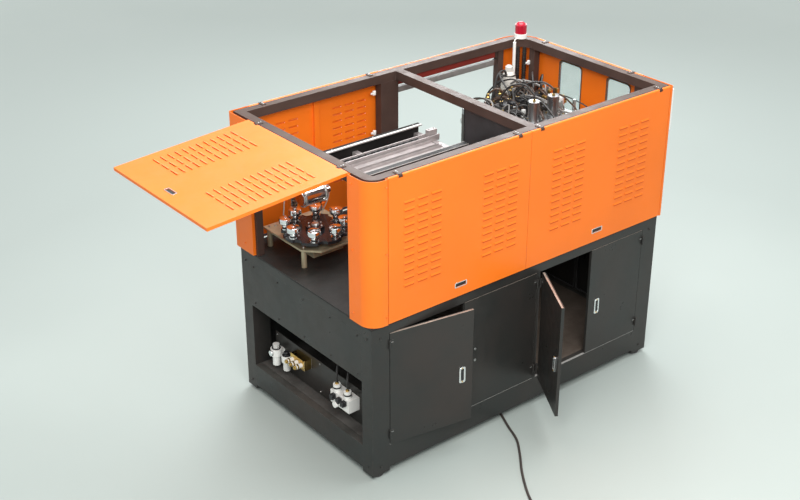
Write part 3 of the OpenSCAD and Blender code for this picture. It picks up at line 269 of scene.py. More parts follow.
def finishes():
    """Material, usual slot, colour, roughness, metal, mottle and grain (scale, strength), edge, the rest."""
    p = paint()
    # Darker orange of the louvre lips and baffles: painted shade.
    shaded = tuple(c * k for c, k in zip(p.orange, (0.76, 0.54, 0.4)))
    return {
        "orange": ("orange_powder_coat", "orange_paint", p.orange, 0.4, 0, (1.6, 0.05), (420, 0.1), 0.002,
                   dict(dust=p.dust * 0.3, worn=(0.42, 0.36, 0.3), spread=0.07, shine=0.36)),
        "charcoal": ("charcoal_satin_paint", "charcoal_paint", p.charcoal, 0.36, 0, (2.2, 0.16), (520, 0.12),
                     0.002, dict(dust=p.dust * 0.5, worn=(0.2, 0.19, 0.18), second=(0.037, 0.031, 0.028),
                                 shine=0.36)),
        "frame": ("brown_black_frame_paint", "frame_paint", p.frame_brown, 0.38, 0, (4, 0.18), (520, 0.12),
                  0.0025, dict(dust=p.dust * 0.25, worn=(0.26, 0.22, 0.2), shine=0.12)),
        "deck": ("worn_deck_paint", "", (0.016, 0.0155, 0.015), 0.5, 0.05, (7, 0.28), (240, 0.2), EDGE,
                 dict(dust=0.04, worn=(0.2, 0.19, 0.18), shine=0.3)),
        "pan": ("dusty_pan_paint", "", (0.046, 0.043, 0.041), 0.62, 0, (6, 0.3), (260, 0.25), EDGE,
                dict(dust=0.16, worn=(0.24, 0.22, 0.2))),
        "louvre_shade": ("shaded_orange_coat", "orange_paint", shaded, 0.55, 0, (5, 0.08), (420, 0.1), EDGE,
                         dict(shine=0.3)),
        # Dark red of the header's inner strip: painted shade on the orange header.
        "red_primer": ("red_primer", "orange_paint", (0.235, 0.028, 0.02), 0.55, 0, (5, 0.12), (420, 0.1),
                       EDGE, dict(shine=0.3)),
        "black_rail": ("black_rail_paint", "frame_paint", (0.014, 0.013, 0.013), 0.48, 0, (9, 0.25),
                       (420, 0.12), EDGE, dict(worn=(0.24, 0.23, 0.22), shine=0.25)),
        "rail_steel": ("satin_grey_rail", "aluminium", (0.45, 0.405, 0.4), 0.42, 0.4, (9, 0.16), (0, 0.08),
                       EDGE, ALONG_X),
        "oiled_steel": ("oiled_dark_steel", "dark_steel", (0.15, 0.14, 0.135), 0.36, 0.85, (9, 0.28),
                        (0, 0.08), EDGE, ALONG_X),
        "anodised": ("dark_anodised_block", "", (0.085, 0.08, 0.08), 0.4, 0.6, (12, 0.25), (420, 0.1),
                     0.001, dict(worn=(0.36, 0.36, 0.36))),
        "wheel_black": ("polished_black_wheel", "", (0.022, 0.021, 0.024), 0.22, 0.25, (14, 0.25),
                        (420, 0.05), EDGE, dict(worn=(0.36, 0.36, 0.37), spread=0.08)),
        "plywood": ("stained_base_board", "frame_paint", (0.125, 0.09, 0.068), 0.66, 0, (3, 0.25), (0, 0.15),
                    0.001, dict(ALONG_X, dust=0.2)),
        "brown_hose": ("brown_hose_rubber", "cable_jacket", (0.07, 0.04, 0.026), 0.42, 0, (20, 0.24),
                       (1300, 0.2), 0.0006, {}),
        "grey_hose": ("grey_hose_plastic", "cable_jacket", (0.21, 0.2, 0.19), 0.44, 0, (20, 0.16),
                      (1300, 0.15), 0.0006, {}),
        "bright_steel": ("machined_steel", "", (0.4, 0.41, 0.42), 0.34, 1, (9, 0.1), (0, 0.08), EDGE,
                         ALONG_X),
        "turned_steel": ("zinc_plated_steel", "bright_steel", (0.6, 0.6, 0.59), 0.32, 1, (40, 0.14),
                         (900, 0.06), 0.0008, {}),
        "chrome": ("polished_chrome", "chrome", (0.82, 0.83, 0.84), 0.12, 1, (14, 0.05), (300, 0.015), 0.001,
                   dict(spread=0.05)),
        "aluminium": ("milled_aluminium", "bright_steel", (0.46, 0.47, 0.48), 0.38, 0.9, (12, 0.08),
                      (0, 0.07), EDGE, ALONG_Y),
        "passivated": ("yellow_passivated_plate", "", (0.45, 0.4, 0.27), 0.42, 0.45, (8, 0.2), (420, 0.1),
                       EDGE, {}),
        "dark_steel": ("blackened_steel", "dark_steel", (0.05, 0.05, 0.054), 0.4, 0.4, (9, 0.25),
                       (420, 0.12), EDGE, dict(dust=0.25, worn=(0.36, 0.36, 0.36))),
        "black_plastic": ("grained_black_plastic", "black_plastic", (0.016, 0.016, 0.018), 0.45, 0,
                          (30, 0.2), (1600, 0.3), 0.001, {}),
        "rubber": ("black_rubber", "black_rubber", (0.018, 0.018, 0.018), 0.72, 0, (24, 0.25), (900, 0.25),
                   0.001, {}),
        "white_plastic": ("white_plastic", "white_plastic", (0.76, 0.76, 0.72), 0.38, 0, (10, 0.05),
                          (900, 0.08), 0.0012, dict(dust=0.18)),
        "brass": ("tarnished_brass", "aluminium", (0.62, 0.42, 0.14), 0.3, 1, (34, 0.22), (700, 0.08),
                  0.0008, {}),
        "red_plastic": ("red_moulded_plastic", "", (0.56, 0.018, 0.014), 0.3, 0, (20, 0.08), (1400, 0.05),
                        0.001, {}),
        "green_plastic": ("green_moulded_plastic", "", (0.012, 0.24, 0.05), 0.3, 0, (20, 0.08),
                          (1400, 0.05), 0.001, {}),
        "yellow_plastic": ("yellow_moulded_plastic", "black_plastic", (0.8, 0.52, 0.03), 0.36, 0,
                           (20, 0.08), (1400, 0.05), 0.001, {}),
        "cable_jacket": ("brown_black_cable_jacket", "cable_jacket", (0.05, 0.04, 0.036), 0.56, 0,
                         (16, 0.22), (1100, 0.18), 0.0006, {}),
        "hose_rubber": ("black_hose_rubber", "cable_jacket", (0.022, 0.02, 0.019), 0.46, 0, (20, 0.22),
                        (1300, 0.25), 0.0006, {}),
        "pale_cable": ("pale_signal_cable", "white_plastic", (0.66, 0.63, 0.58), 0.48, 0, (30, 0.08),
                       (900, 0.08), 0.0005, {}),
        "white_paint": ("white_edge_paint", "white_plastic", (0.74, 0.73, 0.7), 0.42, 0, (18, 0.1),
                        (700, 0.08), 0.001, dict(worn=(0.34, 0.33, 0.32))),
        # Pale strips: on the sills a painted highlight, on the oven's front rail two pale lines.
        "pale_seal": ("pale_door_seal", "bright_steel", (0.44, 0.43, 0.41), 0.55, 0, (26, 0.16), (800, 0.15),
                      0.0008, {}),
        # Pale warm colour of the doors' top lips: painted highlight.
        "bare_edge": ("bare_folded_edge", "bright_steel", (0.46, 0.375, 0.315), 0.5, 0.2, (18, 0.2),
                      (800, 0.1), 0.0004, {}),
        "ceramic": ("lamp_ceramic", "white_plastic", (0.7, 0.68, 0.62), 0.55, 0, (26, 0.08), (700, 0.1),
                    0.0008, {}),
        "window_sheet": ("clear_window_sheet", "", (0.86, 0.92, 0.91), 0.08, dict(weight=0.92, ior=1.3)),
        "beacon_lens": ("red_beacon_lens", "red_lens", p.beacon, 0.16, dict(weight=0.25, ior=1.49)),
    }


def coat(key):
    """The material of a finish, made when it is first asked for."""
    name, _, *values, more = finishes()[key]
    if name in bpy.data.materials:
        return bpy.data.materials[name]
    return (see_through if "ior" in more else finish_coat)(name, *values, **more)


# Shapes

SHARP = radians(35)


def circles(at, axis, profile, sides):
    """Rings of points about an axis, one for each (radius, distance along the axis)."""
    along = Vector(axis).normalized()
    side = along.orthogonal().normalized()
    over = along.cross(side)
    return [[Vector(at) + along * h + (side * cos(a) + over * sin(a)) * max(r, 1e-5)
             for a in (tau * k / sides for k in range(sides))] for r, h in profile]


class Shape:
    """Closed forms gathered into one mesh."""

    def __init__(self):
        self.mesh = bmesh.new()

    def skin(self, rings, hollow=False):
        """Faces over equal rings: capped at both ends, or hollow with the last ring joined to the first."""
        made = [[self.mesh.verts.new(p) for p in ring] for ring in rings]
        n = len(made[0])
        for low, high in zip(made, made[1:] + made[:hollow]):
            for k in range(n):
                self.mesh.faces.new((low[k], low[(k + 1) % n], high[(k + 1) % n], high[k]))
        if not hollow:
            self.mesh.faces.new(made[0][::-1])
            self.mesh.faces.new(made[-1])
        return self

    def block(self, low, high, chamfer=0.0):
        """A block between two opposite corners, its edges chamfered at every side."""
        (x0, x1), (y0, y1), (z0, z1) = map(sorted, zip(low, high))
        c = min(chamfer, 0.45 * min(x1 - x0, y1 - y0, z1 - z0))
        if c <= 0:
            return self.skin([[(x0, y0, z), (x1, y0, z), (x1, y1, z), (x0, y1, z)] for z in (z0, z1)])

        def ring(z, d):
            e = d + c
            return [(x0 + e, y0 + d, z), (x1 - e, y0 + d, z), (x1 - d, y0 + e, z), (x1 - d, y1 - e, z),
                    (x1 - e, y1 - d, z), (x0 + e, y1 - d, z), (x0 + d, y1 - e, z), (x0 + d, y0 + e, z)]
        return self.skin([ring(z0, c * 0.5), ring(z0 + c, 0), ring(z1 - c, 0), ring(z1, c * 0.5)])

    def turned(self, at, axis, profile, sides=24):
        """A form turned about an axis: profile lists (radius, distance along the axis)."""
        return self.skin(circles(at, axis, profile, sides))

    def rod(self, first, last, radius, sides=20, chamfer=0.0):
        first, last = Vector(first), Vector(last)
        length = (last - first).length
        c = min(chamfer, radius * 0.5, length * 0.4)
        profile = [(radius, c), (radius, length - c)]
        if c:
            profile = [(radius - c, 0), *profile, (radius - c, length)]
        return self.turned(first, last - first, profile, sides)

    def ring(self, at, axis, inner, outer, height, sides=32, soft=0.0):
        """A flat closed ring that starts at a point and rises along an axis."""
        top = [(outer, height), (inner, height)]
        if soft:
            edge = height - soft
            top = [(outer, edge), (outer - soft, height), (inner + soft, height), (inner, edge)]
        return self.skin(circles(at, axis, [(inner, 0), (outer, 0), *top], sides), True)

    def screw(self, at, axis, radius, sides=14):
        """A cap screw's head with its hexagon socket."""
        h = radius * 1.05
        return self.turned(at, axis, [(radius, 0), (radius, h * 0.8), (radius * 0.86, h), (radius * 0.52, h),
                                      (radius * 0.46, h * 0.4), (0, h * 0.4)], sides)

    def hex_nut(self, at, axis, radius, height):
        """A nut with the end of its bolt."""
        self.turned(at, axis, [(radius * 0.94, 0), (radius, height * 0.12), (radius, height * 0.88),
                               (radius * 0.94, height)], 6)
        return self.turned(at, axis, [(radius * 0.5, 0), (radius * 0.5, height * 1.35)], 12)

    def union(self, at, axis, wide, foot, neck, length, sides=16, more=()):
        """A pipe union: a wide foot, a neck up to a length, and more of the profile after it."""
        profile = [(wide, 0), (wide, foot), (neck, foot + 0.002), (neck, length), *more]
        return self.turned(at, axis, profile, sides)

    def hose(self, points, radius, sides=8, steps=6):
        return self.tube(smooth_path(points, steps), radius, sides)

    def tube(self, points, radius, sides=10):
        """A round bar bent along a list of points."""
        path = [Vector(p) for p in points]
        turn = (path[1] - path[0]).normalized().orthogonal().normalized()
        rings = []
        for k, p in enumerate(path):
            ahead = (path[min(k + 1, len(path) - 1)] - path[max(k - 1, 0)]).normalized()
            turn = (turn - ahead * turn.dot(ahead)).normalized()
            over = ahead.cross(turn)
            rings.append([p + (turn * cos(a) + over * sin(a)) * radius
                          for a in (tau * j / sides for j in range(sides))])
        return self.skin(rings)

    def rim(self, outer, inner, low, high, at=(0, 0, 0), out=1, steps=5):
        """An upright frame between two rounded rectangles (width, height, radius), low to high along Y."""
        x, y, z = at
        return self.skin([[(x + u, y + out * h, z + v) for u, v in rounded(*size, steps)]
                          for size, h in ((outer, low), (outer, high), (inner, high), (inner, low))], True)

    def moved(self, matrix):
        bmesh.ops.transform(self.mesh, matrix=matrix, verts=self.mesh.verts)
        return self

    def fitted(self, panel, part, finish, slot=None):
        """Moves forms made in a door's or flap's own frame into place and turns them into its piece."""
        matrix = DOORS[panel][0] if panel in DOORS else flap_place(panel)
        return self.moved(matrix).done(f"{panel}_{part}", finish, panel, slot)

    def done(self, name, finish, body="machine", slot=None):
        """Turns the forms into a piece with a finish that rides on a body."""
        bmesh.ops.recalc_face_normals(self.mesh, faces=self.mesh.faces)
        for face in self.mesh.faces:
            face.smooth = True
        for edge in self.mesh.edges:
            edge.smooth = len(edge.link_faces) == 2 and edge.calc_face_angle(0) < SHARP
        data = bpy.data.meshes.new(name)
        self.mesh.to_mesh(data)
        self.mesh.free()
        data.materials.append(coat(finish))
        made = bpy.data.objects.new(name, data)
        bpy.context.scene.collection.objects.link(made)
        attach(made, body)
        return made


def rounded(width, height, radius, steps):
    """Outline of a rounded rectangle about the origin."""
    points = []
    for cx, cy, start in ((1, 1, 0), (-1, 1, 90), (-1, -1, 180), (1, -1, 270)):
        for k in range(steps + 1):
            a = radians(start + 90 * k / steps)
            points.append((cx * (width / 2 - radius) + radius * cos(a),
                           cy * (height / 2 - radius) + radius * sin(a)))
    return points


def smooth_path(points, steps=6):
    """Points on a smooth curve through the given ones, as the frame's source makes them."""
    last = len(points) - 1
    made = []
    for i in range(last):
        a, b, c, d = (Vector(points[max(min(i + k, last), 0)]) for k in (-1, 0, 1, 2))
        for k in range(steps):
            t = k / steps
            made.append(0.5 * (2 * b + (c - a) * t + (2 * a - 5 * b + 4 * c - d) * t * t
                               + (3 * b - a - 3 * c + d) * t ** 3))
    return made + [Vector(points[last])]


def around(x, y, radius, count, start=0.0):
    """Points at equal steps round a point of a plane."""
    turns = (start + tau * k / count for k in range(count))
    return [(x + radius * cos(a), y + radius * sin(a)) for a in turns]


def mm(*values):
    """A turned profile from radii and distances in turn, in millimetres."""
    return [(r / 1000, h / 1000) for r, h in zip(values[::2], values[1::2])]


def place(x, y, z, turn=0.0, tilt=0.0, flip=False):
    """Matrix from a moving panel's own frame to the machine's."""
    made = Matrix.Translation((x, y, z)) @ Matrix.Rotation(radians(turn), 4, "Z")
    if flip:
        made = made @ Matrix.Scale(-1, 4, (1, 0, 0))
    return made @ Matrix.Rotation(radians(tilt), 4, "X")


# Each door's matrix and width, and each flap's x, y, turn, tilt, place of its latch and half width

HINGE_Y = -BASE_Y - HINGE_OUT
HINGE_2, HINGE_3 = MID_X - 0.013, MID_X + 0.013
END_X, END_Y = BASE_X + HINGE_OUT, BASE_Y - POST_W
DOORS = {
    "front_door_1": (place(-BASE_X + POST_L, HINGE_Y, 0, -9.5), PAIR_1 - DOOR_GAP / 2 + BASE_X - POST_L),
    "front_door_2": (place(HINGE_2, HINGE_Y, 0, 0, 0, True), HINGE_2 - PAIR_1 - DOOR_GAP / 2),
    "front_door_3": (place(HINGE_3, HINGE_Y, 0, -120.0), PAIR_2 - DOOR_GAP / 2 - HINGE_3),
    "front_door_4": (place(BASE_X - POST_L, HINGE_Y, 0, 0, 0, True),
                     BASE_X - POST_L - PAIR_2 - DOOR_GAP / 2),
    "end_door_front": (place(END_X, -END_Y, 0, 90), END_Y - DOOR_GAP / 2),
    "end_door_rear": (place(END_X, END_Y, 0, 90, 0, True), END_Y - DOOR_GAP / 2),
}
LOCKED = ("front_door_1", "front_door_3", "front_door_4", "end_door_rear")
FLAPS = {
    "left_flap": (-SHELL_X + ROLL, 0, -90, -86, 0.0, 0.5035),
    "front_flap_left": (-0.564, -SHELL_Y + ROLL, 0, 0, 0.005, 0.5425),
    "front_flap_right": (0.596, -SHELL_Y + ROLL, 0, 0, 0.01, 0.6145),
    "rear_flap": (-0.59, SHELL_Y - ROLL, 180, 0, 0.0, 0.5085),
    "right_flap": (SHELL_X - ROLL, 0.033, 90, 0, 0.0, 0.4915),
}
LOUVRES = {
    "rear_flap": (-0.2735, 0.2735), "front_flap_left": (-0.2945, 0.3045),
    "front_flap_right": (-0.2895, 0.2895),
}
LOUVRE_TOP, LOUVRE_STEP, LOUVRE_ROWS = -0.17, 0.048, 12


def flap_place(name, shut=False):
    x, y, turn, tilt, _, _ = FLAPS[name]
    return place(x, y, FLAP_AXIS_Z, turn, 0 if shut else tilt)


# Stage

LAMPS = (  # Name, place, size, share of the key lamp's power, colour
    ("lamp_over_front", (-3.6, -4.6, 5.6), (4.5, 3.0), 1.0, (1.0, 0.985, 0.96)),
    ("lamp_overhead", (0.6, 0.4, 6.0), (5.0, 4.0), 0.95, (1, 1, 1)),
    ("lamp_behind", (3.8, 4.2, 4.2), (3.0, 2.0), 0.35, (0.96, 0.98, 1.0)),
)
LAMP_TARGET = Vector((0, 0, 1))
SENSOR, FAR_CLIP = 36, 200
FLOOR_HALF = 60.0
SKY_SEEN = (0.8, 0.82, 0.81)


class MACHINE_OT_stage(bpy.types.Operator):
    """Adds the floor, the sky, the lamps and the camera"""

    bl_idname = "machine.stage"
    bl_label = "Stage"

    def execute(self, context):
        scene = context.scene
        stage = scene.machine_stage
        scene.view_settings.view_transform = "Standard"
        lay_floor(scene, tuple(stage.floor))
        light_sky(scene, stage.fill)
        for name, at, size, share, tint in LAMPS:
            hang_lamp(scene, name, at, size, stage.key * share, tint)
        set_camera(scene, stage)
        return {"FINISHED"}


def lay_floor(scene, plain):
    """A plain floor that grows paler and glows with distance: painted light that makes up for the lamps'
    falloff far away.
    """
    data = bpy.data.meshes.new("floor")
    corners = ((-1, -1), (1, -1), (1, 1), (-1, 1))
    data.from_pydata([(x * FLOOR_HALF, y * FLOOR_HALF, 0) for x, y in corners], [], [(0, 1, 2, 3)])
    made = bpy.data.objects.new("floor", data)
    scene.collection.objects.link(made)
    surface, tree, shader, spot = new_surface("pale_floor")
    cloud = noise(tree, spot, 0.9, 7.0, 0.6)
    shade = blended(tree, ramp(tree, cloud, CONTRAST, 0, 1), tuple(c * 0.975 for c in plain), plain)
    # Paler colour and a glow further from the machine: painted light.
    away = node(tree, "VectorMath", ((0, spot),), operation="LENGTH")
    far = ramp(tree, away.outputs["Value"], (4.0, 15.0), 0, 1)
    pale = tuple(min(1.0, c * 1.6) for c in plain)
    fill(tree, shader, (
        ("Base Color", blended(tree, far, shade, pale)),
        ("Roughness", ramp(tree, cloud, CONTRAST, 0.42, 0.56)),
        ("Emission Color", pale),
        ("Emission Strength", maths(tree, "MULTIPLY", far, 0.32))))
    data.materials.append(surface)


def light_sky(scene, strength):
    """Even white light, with a greyer sky where it is seen, mirrored or looked at through the windows."""
    scene.world = bpy.data.worlds.new("even_sky")
    scene.world.use_nodes = True
    tree = scene.world.node_tree
    back = tree.nodes["Background"]
    fill(tree, back.inputs, (("Color", (1, 1, 1)), ("Strength", strength)))
    shown = node(tree, "Background", (("Color", SKY_SEEN), ("Strength", 1.0)))
    ray = node(tree, "LightPath").outputs
    seen = maths(tree, "MAXIMUM", ray["Is Camera Ray"], ray["Is Transmission Ray"])
    seen = maths(tree, "MAXIMUM", seen, ray["Is Glossy Ray"])
    mixed = node(tree, "MixShader", enumerate((seen, back.outputs[0], shown.outputs[0])))
    tree.links.new(mixed.outputs[0], tree.nodes["World Output"].inputs["Surface"])


def hang_lamp(scene, name, at, size, power, tint):
    """A large soft lamp turned towards the machine."""
    data = bpy.data.lights.new(name, "AREA")
    data.shape = "RECTANGLE"
    data.size, data.size_y = size
    data.energy = power
    data.color = tint
    lamp = bpy.data.objects.new(name, data)
    lamp.location = at
    lamp.rotation_euler = (LAMP_TARGET - Vector(at)).to_track_quat("-Z", "Y").to_euler()
    scene.collection.objects.link(lamp)


def set_camera(scene, stage):
    """The camera at the photograph's place and angle."""
    data = bpy.data.cameras.new("camera")
    data.sensor_width = SENSOR
    data.lens = stage.lens
    data.clip_end = FAR_CLIP
    camera = bpy.data.objects.new("camera", data)
    camera.location = stage.eye
    camera.rotation_euler = (pi / 2 - stage.tilt, 0, -stage.heading)
    scene.collection.objects.link(camera)
    scene.camera = camera


# Cable

LIE = 0.0082
ROUTE = [
    (-0.06, -0.44, 0.1736), (-0.06, -0.44, 0.144), (-0.062, -0.448, 0.1), (-0.072, -0.482, 0.052),
    (-0.088, -0.536, 0.02), (-0.105, -0.595, 0.0097), (-0.128, -0.656, LIE), (-0.188, -0.792, LIE),
    (-0.244, -0.929, LIE), (-0.339, -1.06, LIE), (-0.45, -1.195, LIE), (-0.549, -1.338, LIE),
    (-0.612, -1.455, LIE), (-0.648, -1.6, LIE), (-0.655, -1.72, LIE), (-0.655, -1.81, LIE),
]
COIL_Y = -1.87
COIL_COLS, COIL_TURNS, COIL_STEPS = 3, 6, 24
BEND_ANGLE = radians(75)
PLUG_R, PLUG_Z = 0.024, 0.03
WELD = 0.0003


def eased(part, start, end):
    t = min(max((part - start) / (end - start), 0.0), 1.0)
    return t * t * (3 - 2 * t)


class MACHINE_OT_cable(bpy.types.Operator):
    """Lays the power cable from its gland over the floor into its coil and plug"""

    bl_idname = "machine.cable"
    bl_label = "Power cable"

    def execute(self, context):
        sizes = context.scene.machine_cable
        d = sizes.thickness
        turn_r = sizes.coil / 2 + d
        centre = Vector((ROUTE[-1][0] + turn_r, COIL_Y, 0))
        path = smooth_path(ROUTE, 4) + coil(centre, turn_r, d) + tail(centre, turn_r, d)
        made = round_curve("power_cable_run", path, d, "cable_jacket")
        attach(made, "machine")
        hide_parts("power_cable", "cable_coil")
        tie = coil_ties(centre, turn_r, d)
        return {"FINISHED"}


def round_curve(name, path, diameter, finish):
    """A round cable along one open line of points."""
    data = bpy.data.curves.new(name, "CURVE")
    data.dimensions = "3D"
    data.bevel_depth = diameter / 2
    data.bevel_resolution = 4
    data.use_fill_caps = True
    line = data.splines.new("POLY")
    line.points.add(len(path) - 1)
    for spot, p in zip(line.points, path):
        spot.co = (*p, 1)
    data.materials.append(coat(finish))
    made = bpy.data.objects.new(name, data)
    bpy.context.scene.collection.objects.link(made)
    return made


def coil(centre, turn_r, d):
    """Turns side by side, inwards on the floor and outwards on top of them; the last leaves for the plug."""
    made = []
    for k in range((COIL_TURNS - 1) * COIL_STEPS + 1):
        turn, part = divmod(k, COIL_STEPS)
        part /= COIL_STEPS
        layer, whole = divmod(turn, COIL_COLS)
        if layer == 0:
            column = whole + (eased(part, 0.75, 1.0) if whole < COIL_COLS - 1 else 0)
            climb = eased(part, 0.52, 0.75) if whole == COIL_COLS - 1 else 0
        else:
            column = COIL_COLS - 1 - whole - eased(part, 0.3, 0.52)
            climb = 1
        angle = pi + tau * (turn + part)
        radius = turn_r - column * d
        made.append(centre + Vector((radius * cos(angle), radius * sin(angle), LIE + climb * d)))
    return made


def tail(centre, turn_r, d):
    """On round the top outer turn, then straight out and round a bend into the plug."""
    bend_r = 4 * d
    plug_x = turn_r + d / 2 + PLUG_R + WELD
    made = []
    for k in range(1, 8):
        angle = radians(180 + k * 15)
        made.append(centre + Vector((turn_r * cos(angle), turn_r * sin(angle), LIE + d)))
    reach = (plug_x - bend_r - (turn_r - bend_r) * cos(BEND_ANGLE)) / sin(BEND_ANGLE)
    rise = reach * cos(BEND_ANGLE) - (turn_r - bend_r) * sin(BEND_ANGLE)
    for k in range(6):
        t = radians(15 * k) - BEND_ANGLE
        made.append(centre + Vector((plug_x - bend_r + bend_r * cos(t), rise + bend_r * sin(t),
                                     PLUG_Z + (PLUG_Z - 0.024) * t / BEND_ANGLE)))
    return made


def coil_ties(centre, turn_r, d):
    """Two flat straps round all turns of the coil."""
    shape = Shape()
    for angle in (0.9, 3.6):
        across = Vector((cos(angle), sin(angle), 0))
        low, high, top = turn_r - 2.62 * d, turn_r + 0.62 * d, 2.12 * d + 0.0006
        loop = [centre + across * r + Vector((0, 0, z))
                for r, z in ((low, 0.0006), (high, 0.0006), (high, top), (low, top))]
        side = Vector((-across.y, across.x, 0)) * 0.003
        for p, q in zip(loop, loop[1:] + loop[:1]):
            lift = (q - p).normalized().cross(side.normalized()) * 0.0008
            shape.skin([[e - side - lift, e + side - lift, e + side + lift, e - side + lift]
                        for e in (p, q)])
    return shape.done("cable_coil_ties", "black_plastic")


# Finishes of the frame's own pieces

COATS = {
    "orange": "corner_front_left corner_rear_left corner_front_right corner_rear_right left_flap "
              "front_flap_left front_flap_right rear_flap right_flap",
    "charcoal": "base_frame left_end_panel rear_base_panels front_door_1 front_door_2 front_door_3 "
                "front_door_4 end_door_front end_door_rear door_hinges",
    "frame": "upper_frame flap_hinge_lugs",
    "rubber": "levelling_feet",
    "pan": "floor_pan",
    "deck": "deck_plate",
    "chrome": "chucks transfer_cylinder",
    "white_plastic": "air_preparation_unit beacon_base cable_conduit document_holder base_valve_block",
    "aluminium": "platen_rear platen_front",
    "anodised": "valve_manifold",
    "rail_steel": "oven_frame",
    "black_plastic": "latch_left latch_front_left latch_front_right latch_rear latch_right lock_lever_1 "
                     "lock_lever_3 lock_lever_4 lock_lever_end cable_gland",
    "window_sheet": "right_flap_windows",
    "beacon_lens": "beacon_dome",
    "red_plastic": "emergency_stop cable_plug",
    "green_plastic": "start_button",
    "dark_steel": "partition_panel",
    "wheel_black": "chuck_wheel",
    "passivated": "transfer_table",
    "bright_steel": "lamp_bank stretch_frame",
    "oiled_steel": "clamp_frame stretch_carriage",
    "hose_rubber": "hoses",
    "cable_jacket": "power_cable cable_coil",
}


class MACHINE_OT_coats(bpy.types.Operator):
    """Gives each piece of the frame its finish"""

    bl_idname = "machine.coats"
    bl_label = "Finishes"

    def execute(self, context):
        left = set(NODES)
        for finish, names in COATS.items():
            for name in names.split():
                materials = NODES[name].data.materials
                if not materials:
                    materials.append(coat(finish))
                for k in range(len(materials)):
                    materials[k] = coat(finish)
                left.discard(name)
        if left:
            raise RuntimeError(f"no finish for {sorted(left)}")
        return {"FINISHED"}


# Base

HINGE_XS, HINGE_ZS = (0.012, 0.0205), (0.3055, 0.9375)
KEY_Y, KEY_Z = 0.0012, 0.0475
KEYHOLE = mm(5.2, 0, 5.2, 1.2, 4.2, 2, 3, 2, 2.6, 1.2, 0, 1.2)
KEY_CAP = mm(4.5, 0, 4.5, 1, 3.6, 1.8, 0, 2)
HINGE_SCREW = mm(3, 0, 3, 0.6, 2.2, 1.2, 1, 1.2, 0.8, 0.4, 0, 0.4)
HANDLE_IN, HANDLE_ZS = 0.096, (0.555, 0.635)
FOOT_WASHER = mm(34, 0, 34, 1.5, 22, 4, 14, 4.5)
FOOT_NUT = mm(19.5, 0, 20.5, 0.8, 20.5, 2.2, 19.5, 3)
PAN_TOP = 0.2135
THIN = 0.0004


class MACHINE_OT_door_trim(bpy.types.Operator):
    """Adds lock bezels, keys and cases, hinge screws, seals, pale top lips of painted highlight and
    stiffeners to the doors
    """

    bl_idname = "machine.door_trim"
    bl_label = "Door trim"

    def execute(self, context):
        for name, (_, width) in DOORS.items():
            if name in LOCKED:
                lock_face(name, width - LOCK_IN)
            door_edges(name, width)
            if name in LOCKED:
                lock_case(name, width - LOCK_IN)
        handle_holes("front_door_2")
        return {"FINISHED"}


def lock_face(door, x):
    """The bezel round a lock's lever and the key cylinders above and below it."""
    w, h, at = trim().bezel_w, trim().bezel_h, (x, 0.004, LOCK_Z)
    bezel = Shape().rim((w, h, 0.012), (0.0216, 0.0836, 0.004), -0.0035, 0.0022, at, -1)
    bezel.rim((w - 0.006, h - 0.006, 0.01), (0.024, 0.086, 0.005), 0.0022, 0.0032, at, -1)
    bezel.fitted(door, "lock_bezel", "chrome")
    key = Shape().turned((x, KEY_Y, LOCK_Z - KEY_Z), FRONT, KEYHOLE, 18)
    key.turned((x, KEY_Y, LOCK_Z + KEY_Z), FRONT, KEY_CAP, 18).fitted(door, "lock_key", "brass", "chrome")


def door_edges(door, width):
    """Hinge screws, seal round the folded edge, a pale top lip that is painted highlight and a stiffening
    channel.
    """
    screws = Shape()
    for z in HINGE_ZS:
        for x in HINGE_XS:
            screws.turned((x, HINGE_OUT - 0.002, z), FRONT, HINGE_SCREW, 12)
    screws.fitted(door, "hinge_screws", "turned_steel")
    cx, cz = (DOOR_GAP + width) / 2, (DOOR_BOTTOM + DOOR_TOP) / 2
    w, h = width - DOOR_GAP, DOOR_TOP - DOOR_BOTTOM
    seal = Shape().rim((w - 0.005, h - 0.005, 0.004), (w - 0.03, h - 0.03, 0.006), 0, 0.0085,
                       (cx, HINGE_OUT + 0.01, cz))
    seal.fitted(door, "seal", "rubber")
    # Pale strip on the door's top edge: painted highlight.
    lip = Shape().block((DOOR_GAP + 0.001, HINGE_OUT + 0.0004, DOOR_TOP + 0.0001),
                        (width - 0.001, HINGE_OUT + 0.013, DOOR_TOP + 0.0009), 0.0002)
    lip.fitted(door, "top_lip", "bare_edge")
    rib = Shape().block((cx - 0.03, HINGE_OUT + 0.0025, DOOR_BOTTOM + 0.03),
                        (cx + 0.03, HINGE_OUT + 0.015, DOOR_TOP - 0.03), 0.003)
    rib.fitted(door, "stiffener", "charcoal")


def lock_case(door, x):
    """The lock's case behind the sheet, with its bolt."""
    case = Shape().block((x - 0.024, HINGE_OUT + 0.0145, LOCK_Z - 0.058),
                         (x + 0.024, HINGE_OUT + 0.0192, LOCK_Z + 0.058), 0.002)
    case.block((x + 0.006, HINGE_OUT + 0.01, LOCK_Z - 0.012),
               (x + 0.052, HINGE_OUT + 0.014, LOCK_Z + 0.012), 0.001)
    case.fitted(door, "lock_case", "turned_steel")


def handle_holes(door):
    """Rings round the two screw holes where the handle is missing."""
    matrix, width = DOORS[door]
    marks = Shape()
    for z in HANDLE_ZS:
        marks.ring((width - HANDLE_IN, HINGE_OUT, z), FRONT, 0.0035, 0.009, 0.0016, 20, 0.0005)
    marks.moved(matrix).done("door_2_handle_holes", "turned_steel", door)


class MACHINE_OT_base_trim(bpy.types.Operator):
    """Adds the sill strips, floor board, louvre baffles, screws, foot washers and inner cases of the base"""

    bl_idname = "machine.base_trim"
    bl_label = "Base trim"

    def execute(self, context):
        base_sheets()
        base_screws()
        foot_washers()
        base_cases()
        return {"FINISHED"}


